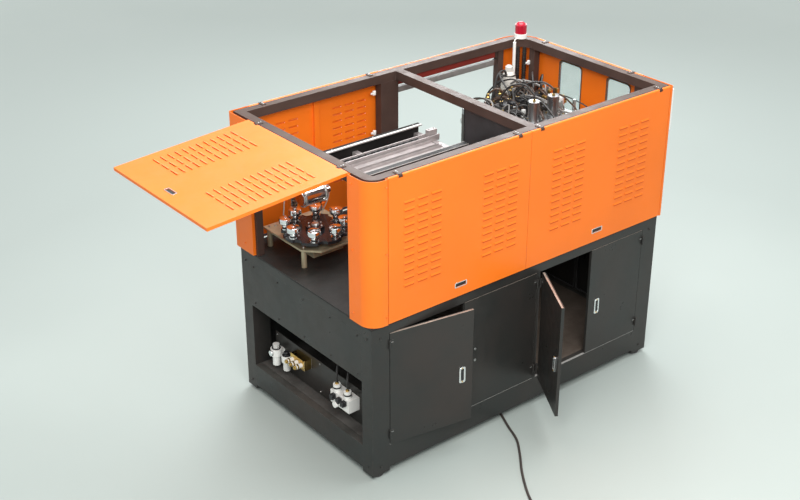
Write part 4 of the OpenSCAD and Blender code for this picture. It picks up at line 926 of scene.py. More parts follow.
def base_sheets():
    """Bright strips on the sills that stand for the light line along the rails' top edges, a painted
    highlight, a board over the floor pan and sheets behind the rear louvres.
    """
    x, y, low, high = BASE_X - POST_L - 0.002, BASE_Y - POST_W - 0.002, 0.2121, 0.2144
    # Pale strips along the sills' top edges: painted highlight.
    strips = Shape()
    for x0, x1 in ((-x, MID_X - 0.0135), (MID_X + 0.0135, x)):
        strips.block((x0, -BASE_Y + 0.0005, low), (x1, -BASE_Y + 0.016, high), 0.0006)
    strips.block((BASE_X - 0.016, -y, low), (BASE_X - 0.0005, y, high), 0.0006)
    strips.done("sill_strips", "pale_seal")
    board = Shape().block((MID_X + 0.02, -BASE_Y + 0.05, 0.2123),
                          (BASE_X - 0.06, BASE_Y - 0.06, 0.2134), THIN)
    board.done("base_floor_board", "plywood")
    baffles = Shape()
    for x in ((HINGE_2 - BASE_X + POST_L) / 2, (HINGE_3 + BASE_X - POST_L) / 2):
        baffles.block((x - 0.26, BASE_Y - 0.0058, 0.31), (x + 0.26, BASE_Y - 0.0046, 0.595), THIN)
    baffles.done("rear_panel_baffles", "charcoal")


def base_screws():
    """Screws of the corner posts, the left end's sheet and the rear panels."""
    r = trim().screw_r
    screws = Shape()
    for x in (-1.154, 1.154):
        for z in (0.075, 0.985):
            for side in SIDES:
                screws.screw((x, side * BASE_Y, z), (0, side, 0), r)
    for y in (-0.64, 0.64):
        for z in (0.075, 0.985):
            for side in SIDES:
                screws.screw((side * BASE_X, y, z), (side, 0, 0), r)
    for y in (-0.55, -0.28, 0.0, 0.28, 0.55):
        for z in (0.97, 0.704):
            screws.screw((-BASE_X, y, z), LEFT, r * 0.8)
    for x0, x1 in ((-1.07, 0.09), (0.15, 1.07)):
        for k in range(5):
            for z in (0.234, 0.978):
                screws.screw((x0 + (x1 - x0) * k / 4, BASE_Y, z), REAR, r * 0.8)
    screws.done("base_screws", "charcoal")


def foot_washers():
    """A washer and a lock nut on the plate of each levelling foot."""
    feet = Shape()
    for i in SIDES:
        for j in SIDES:
            x, y = i * (BASE_X - POST_L / 2), j * (BASE_Y - POST_W / 2)
            feet.turned((x, y, 0.0092), UP, FOOT_WASHER, 28)
            feet.turned((x, y, 0.0138), UP, FOOT_NUT, 6)
    feet.done("foot_washers", "turned_steel")


def base_cases():
    """Slotted cable trunks, a drive and a pump's case inside the base, seen through the open door."""
    trunks = Shape()
    for z in (0.56, 0.83):
        trunks.block((0.2, 0.56, z), (1.02, 0.61, z + 0.055), 0.002)
        for k in range(26):
            x = 0.215 + k * 0.031
            trunks.block((x, 0.5588, z + 0.006), (x + 0.016, 0.5608, z + 0.047))
    trunks.done("wiring_trunks", "pale_cable")
    drive = Shape().block((0.3, 0.47, PAN_TOP), (0.62, 0.62, 0.47), 0.006)
    drive.block((0.33, 0.462, 0.245), (0.59, 0.4705, 0.44), 0.004).done("base_drive_box", "white_plastic")
    pump = Shape().block((0.66, 0.48, PAN_TOP), (0.98, 0.62, 0.36), 0.006)
    for k in range(7):
        x = 0.675 + k * 0.042
        pump.block((x, 0.4745, 0.235), (x + 0.015, 0.4805, 0.34))
    pump.done("base_pump_case", "dark_steel")


# Flaps

SKIN_Y = -ROLL - SHEET
RIVET = mm(2, 0, 2, 0.5, 1.4, 0.9, 0, 0.9)
WINDOW_XS, WINDOW_Z = (-0.278, 0.172), -0.3
STIFFENERS = {"left_flap": 0.0, "front_flap_left": -0.005, "front_flap_right": 0.0, "rear_flap": 0.0}
LEFT_LOUVRES = (-0.2885, 0.2885)


class MACHINE_OT_flap_trim(bpy.types.Operator):
    """Adds latch rims, rivets, seals, lug screws, louvre lips and baffles in painted shade, and stiffeners
    to the flaps
    """

    bl_idname = "machine.flap_trim"
    bl_label = "Flap trim"

    def execute(self, context):
        for name in FLAPS:
            flap_edges(name)
            if name in LOUVRES:
                louvre_lips(name)
        window_seals()
        for name, x in STIFFENERS.items():
            rib = Shape().block((x - 0.018, 0.0022 - ROLL, 0.11 - FLAP_H),
                                (x + 0.018, ROLL - 0.004, -0.04), 0.003)
            rib.fitted(name, "stiffener", "orange")
        louvre_baffles("left_flap", LEFT_LOUVRES)
        return {"FINISHED"}


def flap_edges(name):
    """Rim and rivets of the latch, the seal at the inner edge and the screws of the hinge lugs."""
    latch_x, half = FLAPS[name][-2:]
    rim = Shape().rim((0.0955, 0.0335, 0.006), (0.083, 0.0245, 0.003), -0.0035, 0.0012,
                      (latch_x, SKIN_Y, LATCH_Z), -1)
    rim.fitted(name, "latch_rim", "chrome")
    rivets = Shape()
    for dx in (-0.0435, 0.0435):
        rivets.turned((latch_x + dx, SKIN_Y - 0.0012, LATCH_Z), FRONT, RIVET, 10)
    rivets.fitted(name, "latch_rivets", "turned_steel")
    w, h = 2 * half, FLAP_H - 0.012
    seal = Shape().rim((w - 0.006, h - 0.006, 0.004), (w - 0.026, h - 0.026, 0.006), -0.004, 0.0055,
                       (0, ROLL - 0.006, -0.5 * (FLAP_H + 0.012)))
    seal.fitted(name, "edge_seal", "rubber")
    screws = Shape()
    for side in SIDES:
        for y in (0.02, 0.036):
            screws.screw((side * (half - 0.088), y, ROLL + 0.002), UP, 0.0045, 12)
    screws.moved(flap_place(name, True)).done(name + "_lug_screws", "turned_steel")


def louvre_lips(name):
    """The inner edge of each louvre's hood, coloured a darker orange as painted shade."""
    lips = Shape()
    for middle in LOUVRES[name]:
        for row in range(LOUVRE_ROWS):
            z = LOUVRE_TOP - row * LOUVRE_STEP
            for x in (middle - 0.1, middle, middle + 0.1):
                lips.block((x - 0.035, -ROLL - 0.005, z - 0.0085), (x + 0.035, -ROLL - 0.004, z - 0.0015))
    lips.fitted(name, "louvre_lips", "louvre_shade")


def window_seals():
    """The stepped seals round the windows of the right flap."""
    for k, x in enumerate(WINDOW_XS):
        at = (x, SKIN_Y, WINDOW_Z)
        seal = Shape().rim((0.222, 0.422, 0.04), (0.196, 0.396, 0.028), 0, 0.0035, at, -1, 8)
        seal.rim((0.216, 0.416, 0.037), (0.202, 0.402, 0.031), 0.0035, 0.0055, at, -1, 8)
        seal.moved(flap_place("right_flap")).done(f"window_seal_{k + 1}", "rubber", "right_flap")


def louvre_baffles(name, middles):
    """Sheets close behind the columns of slits, coloured a darker orange as painted shade."""
    baffles = Shape()
    bottom, top = LOUVRE_TOP - LOUVRE_ROWS * LOUVRE_STEP + 0.02, LOUVRE_TOP + 0.02
    for x in middles:
        baffles.block((x - 0.145, 0.0042 - ROLL, bottom), (x + 0.145, 0.0054 - ROLL, top), THIN)
    baffles.fitted(name, "baffles", "louvre_shade")


# Top frame and corner posts

BEADS = (  # Height span, radius and places of the weld beads
    (1.94, 1.996, 0.003, ((0.0148, -0.6278), (0.0148, 0.6278), (0.0752, -0.6278), (0.0752, 0.6278))),
    (1.942, 1.995, 0.0028, ((-1.158, -0.61), (1.1578, -0.628), (1.1578, 0.526), (-1.158, 0.628))),
)
HEADER_X = (0.037, 0.924)
SWITCHES = ((-0.165, 0.64, 1.862), (-0.165, 0.64, 1.58), (1.15, 0.541, 1.815))


class MACHINE_OT_top_frame(bpy.types.Operator):
    """Adds weld beads, the header's strip, fascia and bar, flap switches, post screws and jamb pads"""

    bl_idname = "machine.top_frame"
    bl_label = "Top frame"

    def execute(self, context):
        beads = Shape()
        for low, high, radius, spots in BEADS:
            for x, y in spots:
                beads.rod((x, y, low), (x, y, high), radius, 8, 0.001)
        beads.done("frame_weld_beads", "frame")
        header()
        switches = Shape()
        for x, y, z in SWITCHES:
            switches.block((x, y, z), (x + 0.022, y + 0.016, z + 0.03), 0.003)
            switches.block((x - 0.016, y + 0.003, z + 0.008), (x + 0.001, y + 0.013, z + 0.02), 0.002)
        switches.done("flap_switches", "white_plastic")
        post_screws()
        pads = Shape()
        for y in (-0.514, 0.514):
            for z in (1.12, 1.5, 1.86):
                pads.turned((-1.218, y, z), LEFT, mm(8, 0, 8, 1.2, 6, 1.8), 16)
        pads.done("jamb_pads", "rubber")
        return {"FINISHED"}


def header():
    """The inner strip, dark red as painted shade on the orange header, the fascia and the grey bar over the
    operator's bay.
    """
    x0, x1 = HEADER_X
    # The strip's dark red is painted shade.
    strip = Shape().block((x0, 0.6484, 1.89), (x1, 0.6497, 1.9376), THIN)
    strip.done("header_inner_strip", "red_primer")
    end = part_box("corner_rear_right")[0].x - 0.002
    fascia = Shape().block((-0.0765, 0.6882, 1.892), (end, 0.6985, 1.9995), 0.002)
    fascia.done("header_fascia", "orange")
    bar = Shape().block((x0, 0.6534, 1.8316), (x1, 0.6549, 1.8694), THIN)
    bar.block((x0, 0.6549, 1.8681), (x1, 0.68, 1.8694), THIN)
    bar.done("header_grey_bar", "grey_hose", slot="frame_paint")


def post_screws():
    """Three screws, one above the other, on six faces of the corner posts."""
    screws = Shape()
    for z, y in ((1.13, -0.58), (1.54, -0.58), (1.95, -0.69)):
        for *at, axis in ((-1.1235, -SHELL_Y, FRONT), (-SHELL_X, -0.545, LEFT), (-SHELL_X, 0.6, LEFT),
                          (-1.17, SHELL_Y, REAR), (1.0, SHELL_Y, REAR), (SHELL_X, y, RIGHT)):
            screws.screw((*at, z), axis, trim().screw_r * 0.85)
    screws.done("corner_post_screws", "orange")


# Beacon, holder and buttons

LEAD = ((0, 0, -0.004), (0, 0, 0.006), (0.012, 0.01, 0.0125), (0.04, 0.022, 0.0105), (0.062, 0.03, 0.0085))
HOLDER_RIVET = mm(4, 0, 4, 0.6, 2.8, 1.4, 0, 1.6)
RIB_TOP = 0.062


class MACHINE_OT_signals(bpy.types.Operator):
    """Adds the beacon's ribs, collar and lead, the buttons' collars and nuts and the holder's rivets"""

    bl_idname = "machine.signals"
    bl_label = "Beacon and buttons"

    def execute(self, context):
        beacon_trim()
        button_trim("emergency_stop", 0.03, "yellow_plastic", 0.0092)
        button_trim("start_button", 0.022, "black_plastic")
        holder_rivets()
        low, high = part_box("cable_conduit")
        x, y, top = (low.x + high.x) / 2, (low.y + high.y) / 2, high.z
        lead = [(x + dx, y + dy, top + dz) for dx, dy, dz in LEAD]
        Shape().hose(lead, 0.0045).done("beacon_lead", "pale_cable")
        return {"FINISHED"}


def beacon_trim():
    """Upright ribs and a ring on the dome, and a collar round the base under it."""
    low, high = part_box("beacon_dome")
    x, y, r = (low.x + high.x) / 2, (low.y + high.y) / 2, (high.x - low.x) / 2
    ribs = Shape()
    for u, v in around(x, y, r + 0.0002, 12):
        ribs.rod((u, v, low.z + 0.002), (u, v, low.z + RIB_TOP), 0.0016, 6)
    ribs.ring((x, y, low.z + RIB_TOP), UP, r - 0.001, r + 0.0012, 0.003, 40, 0.0006)
    ribs.done("beacon_ribs", "beacon_lens")
    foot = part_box("beacon_base")[0].z
    collar = Shape().ring((x, y, foot + 0.0004), UP, 0.0425, 0.0452, low.z + 0.004 - foot, 48, 0.002)
    collar.done("beacon_collar", "white_plastic")


def button_trim(name, radius, finish, hole=None):
    """A button's collar on the post, with a hole that clears the button, and its nut inside."""
    low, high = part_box(name)
    x, z = (low.x + high.x) / 2, (low.z + high.z) / 2
    hole = hole or (high.x - low.x) / 2 + 0.0008
    collar = Shape().ring((x, SHELL_Y, z), REAR, hole, radius, 0.0014, 40, 0.0005)
    collar.done(name + "_collar", finish)
    nut = Shape().ring((x, SHELL_Y - 0.0032, z), FRONT, 0.0086, 0.015, 0.005, 6)
    nut.done(name + "_nut", "black_plastic")


def holder_rivets():
    """Four rivets at the corners of the blank holder."""
    low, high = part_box("document_holder")
    rivets = Shape()
    for y in (low.y + 0.012, high.y - 0.012):
        for z in (low.z + 0.012, high.z - 0.03):
            rivets.turned((high.x, y, z), RIGHT, HOLDER_RIVET, 16)
    rivets.done("holder_rivets", "turned_steel")


# Wiring and hoses inside the enclosure

LOOMS = ((1.15, 0.585), (1.11, 0.61))
HANGING = (  # Piece, finish, and the radius and points of each cable in it
    ("hanging_sensor_cables", "pale_cable",
     (0.004, [(-0.905, 0.395, 1.5), (-0.92, 0.42, 1.535), (-0.96, 0.44, 1.52), (-0.985, 0.5, 1.42),
               (-0.992, 0.515, 1.32), (-0.985, 0.53, 1.24), (-0.96, 0.54, 1.2085)]),
     (0.0035, [(-0.815, 0.33, 1.48), (-0.78, 0.33, 1.5), (-0.75, 0.35, 1.46), (-0.74, 0.38, 1.38),
               (-0.745, 0.42, 1.3), (-0.76, 0.46, 1.2085)])),
    ("transfer_hose", "hose_rubber",
     (0.0055, [(-0.8, 0.325, 1.445), (-0.77, 0.345, 1.46), (-0.735, 0.4, 1.44), (-0.72, 0.47, 1.36),
               (-0.72, 0.52, 1.21)]),
     (0.0075, [(-0.8, 0.3, 1.54), (-0.72, 0.25, 1.56), (-0.665, 0.2, 1.48), (-0.655, 0.17, 1.34),
               (-0.66, 0.15, 1.21)])),
    ("table_lead", "pale_cable",
     (0.0035, [(-0.78, 0.085, 1.1935), (-0.77, 0.07, 1.176), (-0.745, 0.03, 1.11), (-0.7, -0.02, 1.08),
               (-0.64, -0.07, 1.074), (-0.56, -0.11, 1.0738)])),
)
CARTRIDGE_CAP = mm(12, 0, 12, 10, 7, 14, 7, 24, 9, 26, 9, 32, 4, 34)
DRYER = (0.93, 0.505, 1.6002)
DRYER_BODY = mm(30, 0, 34, 4, 34, 30, 53, 40, 53.5, 160, 48, 196, 34, 220, 27, 228, 25, 262, 18, 269)
ARCH = (  # Points of the dryer's hoses, with the shares of each hose's shift and lift
    (0.745, 0.44, 1.655, 1, 0), (0.74, 0.446, 1.73, 1, 1), (0.79, 0.468, 1.835, 1, 1),
    (0.865, 0.49, 1.85, 1, 1), (0.905, 0.5, 1.805, 0.4, 1),
)
HOSE_KINDS = ("hose_rubber", "brown_hose", "grey_hose", "hose_rubber", "brown_hose")


class MACHINE_OT_wiring(bpy.types.Operator):
    """Adds the spiral wraps, hanging cables, valve fittings, hoses over the clamp and the air dryer"""

    bl_idname = "machine.wiring"
    bl_label = "Wiring"

    def execute(self, context):
        wraps = Shape()
        for x, y in LOOMS:
            wraps.tube(spiral(x, y, 1.08, 0.0155, 46, 0.018, 10), 0.0022, 5)
        wraps.done("loom_spiral_wraps", "hose_rubber")
        for name, finish, *runs in HANGING:
            cables = Shape()
            for radius, points in runs:
                cables.hose(points, radius)
            cables.done(name, finish)
        valve_fittings()
        clamp_hoses()
        air_dryer()
        return {"FINISHED"}


def spiral(x, y, z, radius, turns, pitch, steps):
    """Points of an upright spiral."""
    return [(x + radius * cos(pi / 4 + tau * t), y + radius * sin(pi / 4 + tau * t), z + pitch * t)
            for t in (k / steps for k in range(turns * steps + 1))]


def valve_fittings():
    fittings, coils = Shape(), Shape()
    for k in range(6):
        x = CLAMP_X - 0.172 + k * 0.074
        fittings.hex_nut((x, 0.23, 1.762), UP, 0.0115, 0.0008)
        coils.block((x - 0.02, 0.181, 1.7305), (x + 0.02, 0.222, 1.748), 0.003)
        fittings.screw((x - 0.02, 0.19, 1.73), UP, 0.0032, 10)
        fittings.screw((x + 0.02, 0.27, 1.73), UP, 0.0032, 10)
    for k in range(4):
        x = CLAMP_X - 0.17 + k * 0.11
        fittings.turned((x, 0.365, 1.743), UP, CARTRIDGE_CAP, 18)
        coils.ring((x, 0.365, 1.675), UP, 0.0282, 0.031, 0.012, 32, 0.001)
    fittings.done("valve_fittings", "brass")
    coils.done("valve_coils", "black_plastic")


def clamp_hoses():
    """Short hoses that arch from the valves over the clamp, with a nut at both ends, and small plugs."""
    pick = random.Random(11)
    kinds = [(Shape(), finish) for finish in HOSE_KINDS]
    nuts, brassy, plugs = Shape(), Shape(), Shape()
    for k in range(54):
        x, y, z = CLAMP_X + pick.uniform(-0.24, 0.3), pick.uniform(0.1, 0.5), pick.uniform(1.655, 1.745)
        reach, aside, rise = pick.uniform(0.08, 0.3), pick.uniform(-0.12, 0.14), pick.uniform(0.02, 0.11)
        r = pick.choice((0.0045, 0.006, 0.008))
        first = Vector((x, y, z))
        far = Vector((min(max(x + aside, 0.53), 1.12), max(y - reach, -0.11), 1.662))
        middle = first.lerp(far, 0.5) + Vector((pick.uniform(-0.03, 0.03), 0, rise))
        kinds[k % len(kinds)][0].hose([first, first + Vector((0, -0.004, 0.022)), middle,
                                       far + Vector((0, 0.004, 0.03)), far], r)
        ends = nuts if k % 3 else brassy
        for at, sunk, h in ((first, 0.006, 0.012), (far, 0.001, 0.014)):
            ends.turned(at - Vector((0, 0, sunk)), UP, [(r * 1.7, 0), (r * 1.7, h), (r * 1.2, h + 0.002)], 6)
    for k in range(26):
        low = Vector((CLAMP_X + pick.uniform(-0.06, 0.3), pick.uniform(-0.08, 0.32), 1.66))
        size = Vector([pick.uniform(0.012, 0.034) for _ in range(3)])
        (plugs, nuts, brassy)[k % 3].block(low, low + size + Vector((0, 0, pick.uniform(0.0, 0.09))), 0.002)
    for k, (shape, finish) in enumerate(kinds):
        shape.done(f"clamp_hoses_{k + 1}", finish)
    nuts.done("clamp_hose_nuts", "turned_steel")
    brassy.done("clamp_brass_parts", "brass")
    plugs.done("clamp_cable_plugs", "white_plastic")


def air_dryer():
    """The pale air dryer that stands on the rear plate, with its bands and arched hoses."""
    x, y, z = DRYER
    body = Shape().turned(DRYER, UP, DRYER_BODY, 32)
    for k in range(6):
        body.ring((x, y, z + 0.052 + 0.018 * k), UP, 0.052, 0.055, 0.008, 32, 0.002)
    body.done("air_dryer", "pale_cable")
    bands = Shape().ring((x, y, z + 0.03), UP, 0.0335, 0.048, 0.01, 32, 0.002)
    bands.ring((x, y, z + 0.2), UP, 0.04, 0.05, 0.008, 32, 0.002).done("air_dryer_bands", "oiled_steel")
    arch = Shape()
    for dx, lift, r in ((0.0, 0.0, 0.0085), (0.03, -0.035, 0.0065), (-0.025, -0.07, 0.0065)):
        arch.hose([(u + dx * share, v, w + lift * lifted) for u, v, w, share, lifted in ARCH], r, 10, 8)
    arch.done("air_dryer_hoses", "hose_rubber")


# Preform transfer

HUB = (-0.93, 0.26)
HUB_TOP, RIM_TOP = 1.2955, 1.27
CHUCKS, CHUCK_START, CHUCK_R = 8, radians(8), 0.185
CHUCK_CAP = mm(28.2, -36, 40, -35, 42.5, -32, 42.5, -7, 39.5, -1, 27, 2, 9, 3.2, 9, 6.5, 0, 7.2)
TABLE_TOP = 1.204
TABLE_SCREWS = (
    (-1.07, 0.19), (-0.67, 0.115), (-0.67, 0.57), (-1.07, 0.57), (-1.03, 0.56), (-0.715, 0.12)
)
CYLINDER_Y, CYLINDER_Z = 0.33, 1.469


class MACHINE_OT_transfer(bpy.types.Operator):
    """Adds the wheel's screws, rings and caps, the table's screws and sensor, the cylinder's tie rods"""

    bl_idname = "machine.transfer"
    bl_label = "Preform transfer"

    def execute(self, context):
        wheel_trim()
        table_trim()
        cylinder_trim()
        return {"FINISHED"}


def wheel_trim():
    """Screws and the hub cap of the wheel, and the rings and caps of its chucks."""
    screws, grips, caps = Shape(), Shape(), Shape()
    for x, y in around(*HUB, 0.045, 6):
        screws.screw((x, y, HUB_TOP), UP, 0.006)
    screws.turned((*HUB, HUB_TOP), UP, mm(26, 0, 26, 6, 20, 12, 8, 14), 28)
    for pair in zip(*(around(*HUB, r, CHUCKS, CHUCK_START) for r in (0.14, 0.152))):
        for x, y in pair:
            screws.screw((x, y, RIM_TOP), UP, 0.0042, 10)
    for x, y in around(*HUB, CHUCK_R, CHUCKS, CHUCK_START):
        grips.ring((x, y, 1.279), UP, 0.0191, 0.0225, 0.006, 28, 0.001)
        grips.ring((x, y, 1.301), UP, 0.0191, 0.0215, 0.004, 28, 0.001)
        caps.turned((x, y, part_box("chucks")[1].z), UP, CHUCK_CAP, 28)
    screws.done("wheel_screws", "turned_steel", "chuck_wheel", "chrome")
    grips.done("chuck_rings", "black_plastic", "chuck_wheel")
    caps.done("chuck_caps", "chrome", "chuck_wheel")


def table_trim():
    """Screws in the transfer table and an upright sensor on it."""
    screws = Shape()
    for x, y in TABLE_SCREWS:
        screws.screw((x, y, TABLE_TOP), UP, 0.0075)
    screws.done("table_screws", "turned_steel")
    sensor = Shape().block((-0.69, 0.33, TABLE_TOP), (-0.655, 0.38, TABLE_TOP + 0.008), 0.002)
    sensor.block((-0.682, 0.342, TABLE_TOP + 0.008), (-0.663, 0.368, 1.3), 0.002)
    sensor.rod((-0.672, 0.355, 1.285), (-0.7, 0.348, 1.285), 0.008, 16, 0.001)
    sensor.done("table_sensor", "black_plastic")


def cylinder_trim():
    """Tie rods and end rings of the chrome cylinder, and its two ports."""
    rods, ports = Shape(), Shape()
    for y, z in around(CYLINDER_Y, CYLINDER_Z, 0.0585, 4, pi / 4):
        rods.rod((-0.988, y, z), (-0.812, y, z), 0.0032, 10, 0.001)
    for x in (-0.9795, -0.8245):
        rods.ring((x, CYLINDER_Y, CYLINDER_Z), RIGHT, 0.0552, 0.064, 0.008, 40, 0.001)
    rods.done("cylinder_tie_rods", "turned_steel", slot="chrome")
    for x in (-0.95, -0.85):
        ports.union((x, CYLINDER_Y, CYLINDER_Z + 0.0548), UP, 0.01, 0.006, 0.0065, 0.016)
    ports.done("cylinder_ports", "brass", slot="chrome")


# Oven

OVEN_TOP = 1.75
TRAY_X, TRAY_Z = (-0.805, -0.112), 1.69
LAMP_COUNT, LAMP_LOW, LAMP_STEP = 7, 1.22, 0.058
OVEN_SCREWS = (
    (-0.104, 0.14, 1.764), (-0.066, 0.14, 1.764), (-0.77, 0.284, OVEN_TOP + 0.003),
    (-0.45, 0.284, OVEN_TOP + 0.003), (-0.12, 0.284, OVEN_TOP + 0.003),
)


class MACHINE_OT_oven(bpy.types.Operator):
    """Adds edges, coats and lines of the rails, lamp ends, trays, chain, reflector ribs and screws"""

    bl_idname = "machine.oven"
    bl_label = "Oven"

    def execute(self, context):
        rear_rail()
        front_rail()
        ends = Shape()
        for k in range(LAMP_COUNT):
            z = LAMP_LOW + k * LAMP_STEP
            for x0, x1 in ((-0.5105, -0.486), (-0.154, -0.1295)):
                ends.rod((x0, -0.06, z), (x1, -0.06, z), 0.0105, 18, 0.0015)
        ends.done("lamp_ends", "ceramic")
        oven_trays()
        oven_chain()
        ribs = Shape()
        for y in (0.232, -0.096):
            for k in range(5):
                x = -0.5 + k * 0.09
                ribs.block((x, y, 1.09), (x + 0.01, y + 0.006, 1.62), 0.001)
        ribs.done("reflector_ribs", "aluminium")
        screws = Shape()
        for x, y, z in OVEN_SCREWS:
            screws.screw((x, y, z), UP, 0.005)
        screws.done("oven_screws", "turned_steel")
        return {"FINISHED"}


def rear_rail():
    """White edges of the rear angle and the black coat on its web and top."""
    x0, x1 = OVEN_X
    edge = Shape().block((x0, 0.2625, OVEN_TOP + 0.0002), (x1, 0.28, OVEN_TOP + 0.003), 0.001)
    edge.block((x0, 0.2955, 1.547), (x1, 0.2996, 1.554), 0.001).done("oven_rail_edge", "white_paint")
    x0, x1 = x0 - 0.0005, x1 + 0.0005
    web = Shape().block((x0, 0.2984, 1.5545), (x1, 0.2998, 1.7438), THIN)
    web.block((x0, 0.2802, OVEN_TOP + 0.0002), (x1, 0.3066, OVEN_TOP + 0.0016), THIN)
    web.done("oven_rear_rail_coat", "black_rail")


def front_rail():
    """The front rail's black sleeve with two pale lines on its top."""
    sleeve = Shape().block((-0.8206, -0.1506, 1.6895), (-0.0194, -0.1034, 1.7406), 0.004)
    sleeve.done("oven_front_rail_sleeve", "black_rail")
    lines = Shape()
    for y in (-0.15, -0.107):
        lines.block((-0.82, y, 1.7402), (-0.02, y + 0.003, 1.7414), THIN)
    lines.done("oven_front_rail_lines", "pale_seal")


def oven_trays():
    """Long pale trays with turned-up edges that lie on the cross-ties in front of the channel."""
    trays = Shape()
    x0, x1 = TRAY_X
    for y0, y1 in ((0.03, 0.102), (-0.078, 0.006)):
        trays.block((x0, y0, TRAY_Z), (x1, y1, TRAY_Z + 0.003), 0.0006)
        for y in (y0, y1 - 0.0025):
            trays.block((x0, y, TRAY_Z + 0.003), (x1, y + 0.0025, TRAY_Z + 0.02), 0.0006)
    trays.done("oven_trays", "rail_steel")


def oven_chain():
    """Two rows of links with pins, every second link a little higher."""
    links, pins = Shape(), Shape()
    for k in range(24):
        x, z = -0.78 + k * 0.0254, 1.705 + 0.003 * (k % 2)
        for y in (0.126, 0.149):
            links.block((x - 0.014, y, z), (x + 0.014, y + 0.005, z + 0.018), 0.002)
        pins.rod((x, 0.1225, z + 0.009), (x, 0.1575, z + 0.009), 0.0045, 12, 0.001)
    links.done("oven_chain_links", "dark_steel")
    pins.done("oven_chain_pins", "oiled_steel")


# Clamp

BAR_X, PLATE_Y, CYLINDER_TOP, PRESS_Z = 0.22, 0.5303, 0.6263, 1.335
MOULD_X, STRETCH_X, STRETCH_TOP = 0.18, 0.09, 1.8106
FLANGE = 0.014


class MACHINE_OT_clamp(bpy.types.Operator):
    """Adds nuts, flanges, mould trim, water nozzles, guide rings, screws and ports to the clamp"""

    bl_idname = "machine.clamp"
    bl_label = "Clamp"

    def execute(self, context):
        press_trim()
        platen_trim("platen_rear", 1)
        platen_trim("platen_front", -1)
        bridge_trim()
        return {"FINISHED"}


def press_trim():
    """Nuts on the tie bars and the flanges of the two hydraulic cylinders with their screws."""
    nuts, flanges = Shape(), Shape()
    for i in SIDES:
        for z in ROD_ZS:
            for j in SIDES:
                nuts.hex_nut((CLAMP_X + i * BAR_X, j * (PLATE_Y - 0.0001), z), (0, j, 0), 0.034, 0.026)
    for j in SIDES:
        for y, outer, height in ((PLATE_Y, 0.076, FLANGE), (CYLINDER_TOP - 0.014, 0.07, 0.012)):
            flanges.ring((CLAMP_X, j * y, PRESS_Z), (0, j, 0), 0.0602, outer, height, 48, 0.002)
        for x, z in around(CLAMP_X, PRESS_Z, 0.068, 8, pi / 8):
            nuts.screw((x, j * (PLATE_Y + FLANGE), z), (0, j, 0), 0.005, 10)
    flanges.done("clamp_cylinder_flanges", "dark_steel")
    nuts.done("clamp_nuts", "turned_steel")


def bridge_trim():
    """Screws of the bridge, and the tie rods, screws and ports of the stretching cylinders."""
    screws, ports = Shape(), Shape()
    for i in SIDES:
        for y, z in ((-0.07, 1.6603), (0.07, 1.6603), (-0.505, 1.64), (0.505, 1.64)):
            screws.screw((CLAMP_X + i * 0.236, y, z), UP, 0.008)
    for x in (CLAMP_X - STRETCH_X, CLAMP_X + STRETCH_X):
        for (u, v), (s, t) in zip(around(x, 0, 0.036, 4, pi / 4), around(x, 0, 0.034, 4, pi / 4)):
            screws.rod((u, v, 1.675), (u, v, 1.796), 0.0028, 8)
            screws.screw((s, t, STRETCH_TOP), UP, 0.0045, 10)
        ports.union((x, 0.0398, 1.668), REAR, 0.008, 0.008, 0.006, 0.02)
        ports.ring((x, 0, STRETCH_TOP), UP, 0.0062, 0.012, 0.01, 6)
    screws.done("bridge_screws", "turned_steel")
    ports.done("stretch_cylinder_ports", "brass")


def platen_trim(name, j):
    """Edges and screws of a mould half, its water nozzles and the rings on its guides."""
    seams, water, rings = Shape(), Shape(), Shape()
    for i in SIDES:
        x = CLAMP_X + i * (MOULD_X + 0.0002)
        seams.block((x, j * 0.112, 1.185), (x + i * 0.0012, j * 0.118, 1.525))
        for z in (1.24, 1.36, 1.48):
            seams.screw((x, j * 0.16, z), (i, 0, 0), 0.006, 12)
        for z in (1.21, 1.5):
            water.union((CLAMP_X + i * MOULD_X, j * 0.095, z), (i, 0, 0), 0.011, 0.01, 0.0075, 0.022, 18,
                        mm(9.5, 24, 9.5, 34, 6, 36))
        for z in ROD_ZS:
            rings.ring((CLAMP_X + i * BAR_X, j * 0.19, z), (0, j, 0), 0.0223, 0.036, 0.01, 36, 0.002)
    seams.done(name + "_mould_trim", "dark_steel", name)
    water.done(name + "_water_nozzles", "brass", name)
    rings.done(name + "_guide_rings", "turned_steel", name)


# Partition

class MACHINE_OT_partition(bpy.types.Operator):
    """Adds the black edge and the window seal of the partition"""

    bl_idname = "machine.partition"
    bl_label = "Partition"

    def execute(self, context):
        edge = Shape().block((0.04, -0.0352, 1.076), (0.05, -0.03, 1.936), 0.001)
        edge.done("partition_edge", "black_rail", slot="white_plastic")
        seal = Shape()
        for low, high in ((-0.0065, -0.0045), (-0.0005, 0.002)):
            seal.rim((0.262, 0.322, 0.01), (0.236, 0.296, 0.006), low, high)
        seal.moved(place(0.0425, -0.3, 1.28, 90)).done("partition_window_seal", "rubber")
        return {"FINISHED"}


# Open bay of the base

UNIT_Y, BOWL_Y, BLOCK_Y = 0.44, 0.33, 0.19
VALVE_YS, VALVE_OUT = (-0.355, -0.245), 0.0625
VALVE_HOSE = (
    (-VALVE_OUT, 0, 0.47), (-VALVE_OUT, 0, 0.52), (-0.02, 0.03, 0.58), (0.08, 0.05, 0.6), (0.18, 0.06, 0.56),
    (0.22, 0.06, 0.42), (0.22, 0.06, 0.214),
)
BOWL_HOSE = (
    (-0.02, 0.33, 0.33), (0.03, 0.3, 0.33), (0.06, 0.24, 0.33), (0.06, 0.15, 0.3), (0.04, 0.08, 0.24),
    (0.03, 0.04, 0.22),
)
GAUGE = mm(21, 0, 21, 6, 19, 9, 17, 8.5, 0, 8.5)


class MACHINE_OT_air_unit(bpy.types.Operator):
    """Adds knobs, gauge, fittings, hoses, coils, plate coat and screws in the open bay of the base"""

    bl_idname = "machine.air_unit"
    bl_label = "Air preparation"

    def execute(self, context):
        unit_trim(AIR_X)
        valve_trim(AIR_X)
        plate_trim(AIR_X)
        return {"FINISHED"}


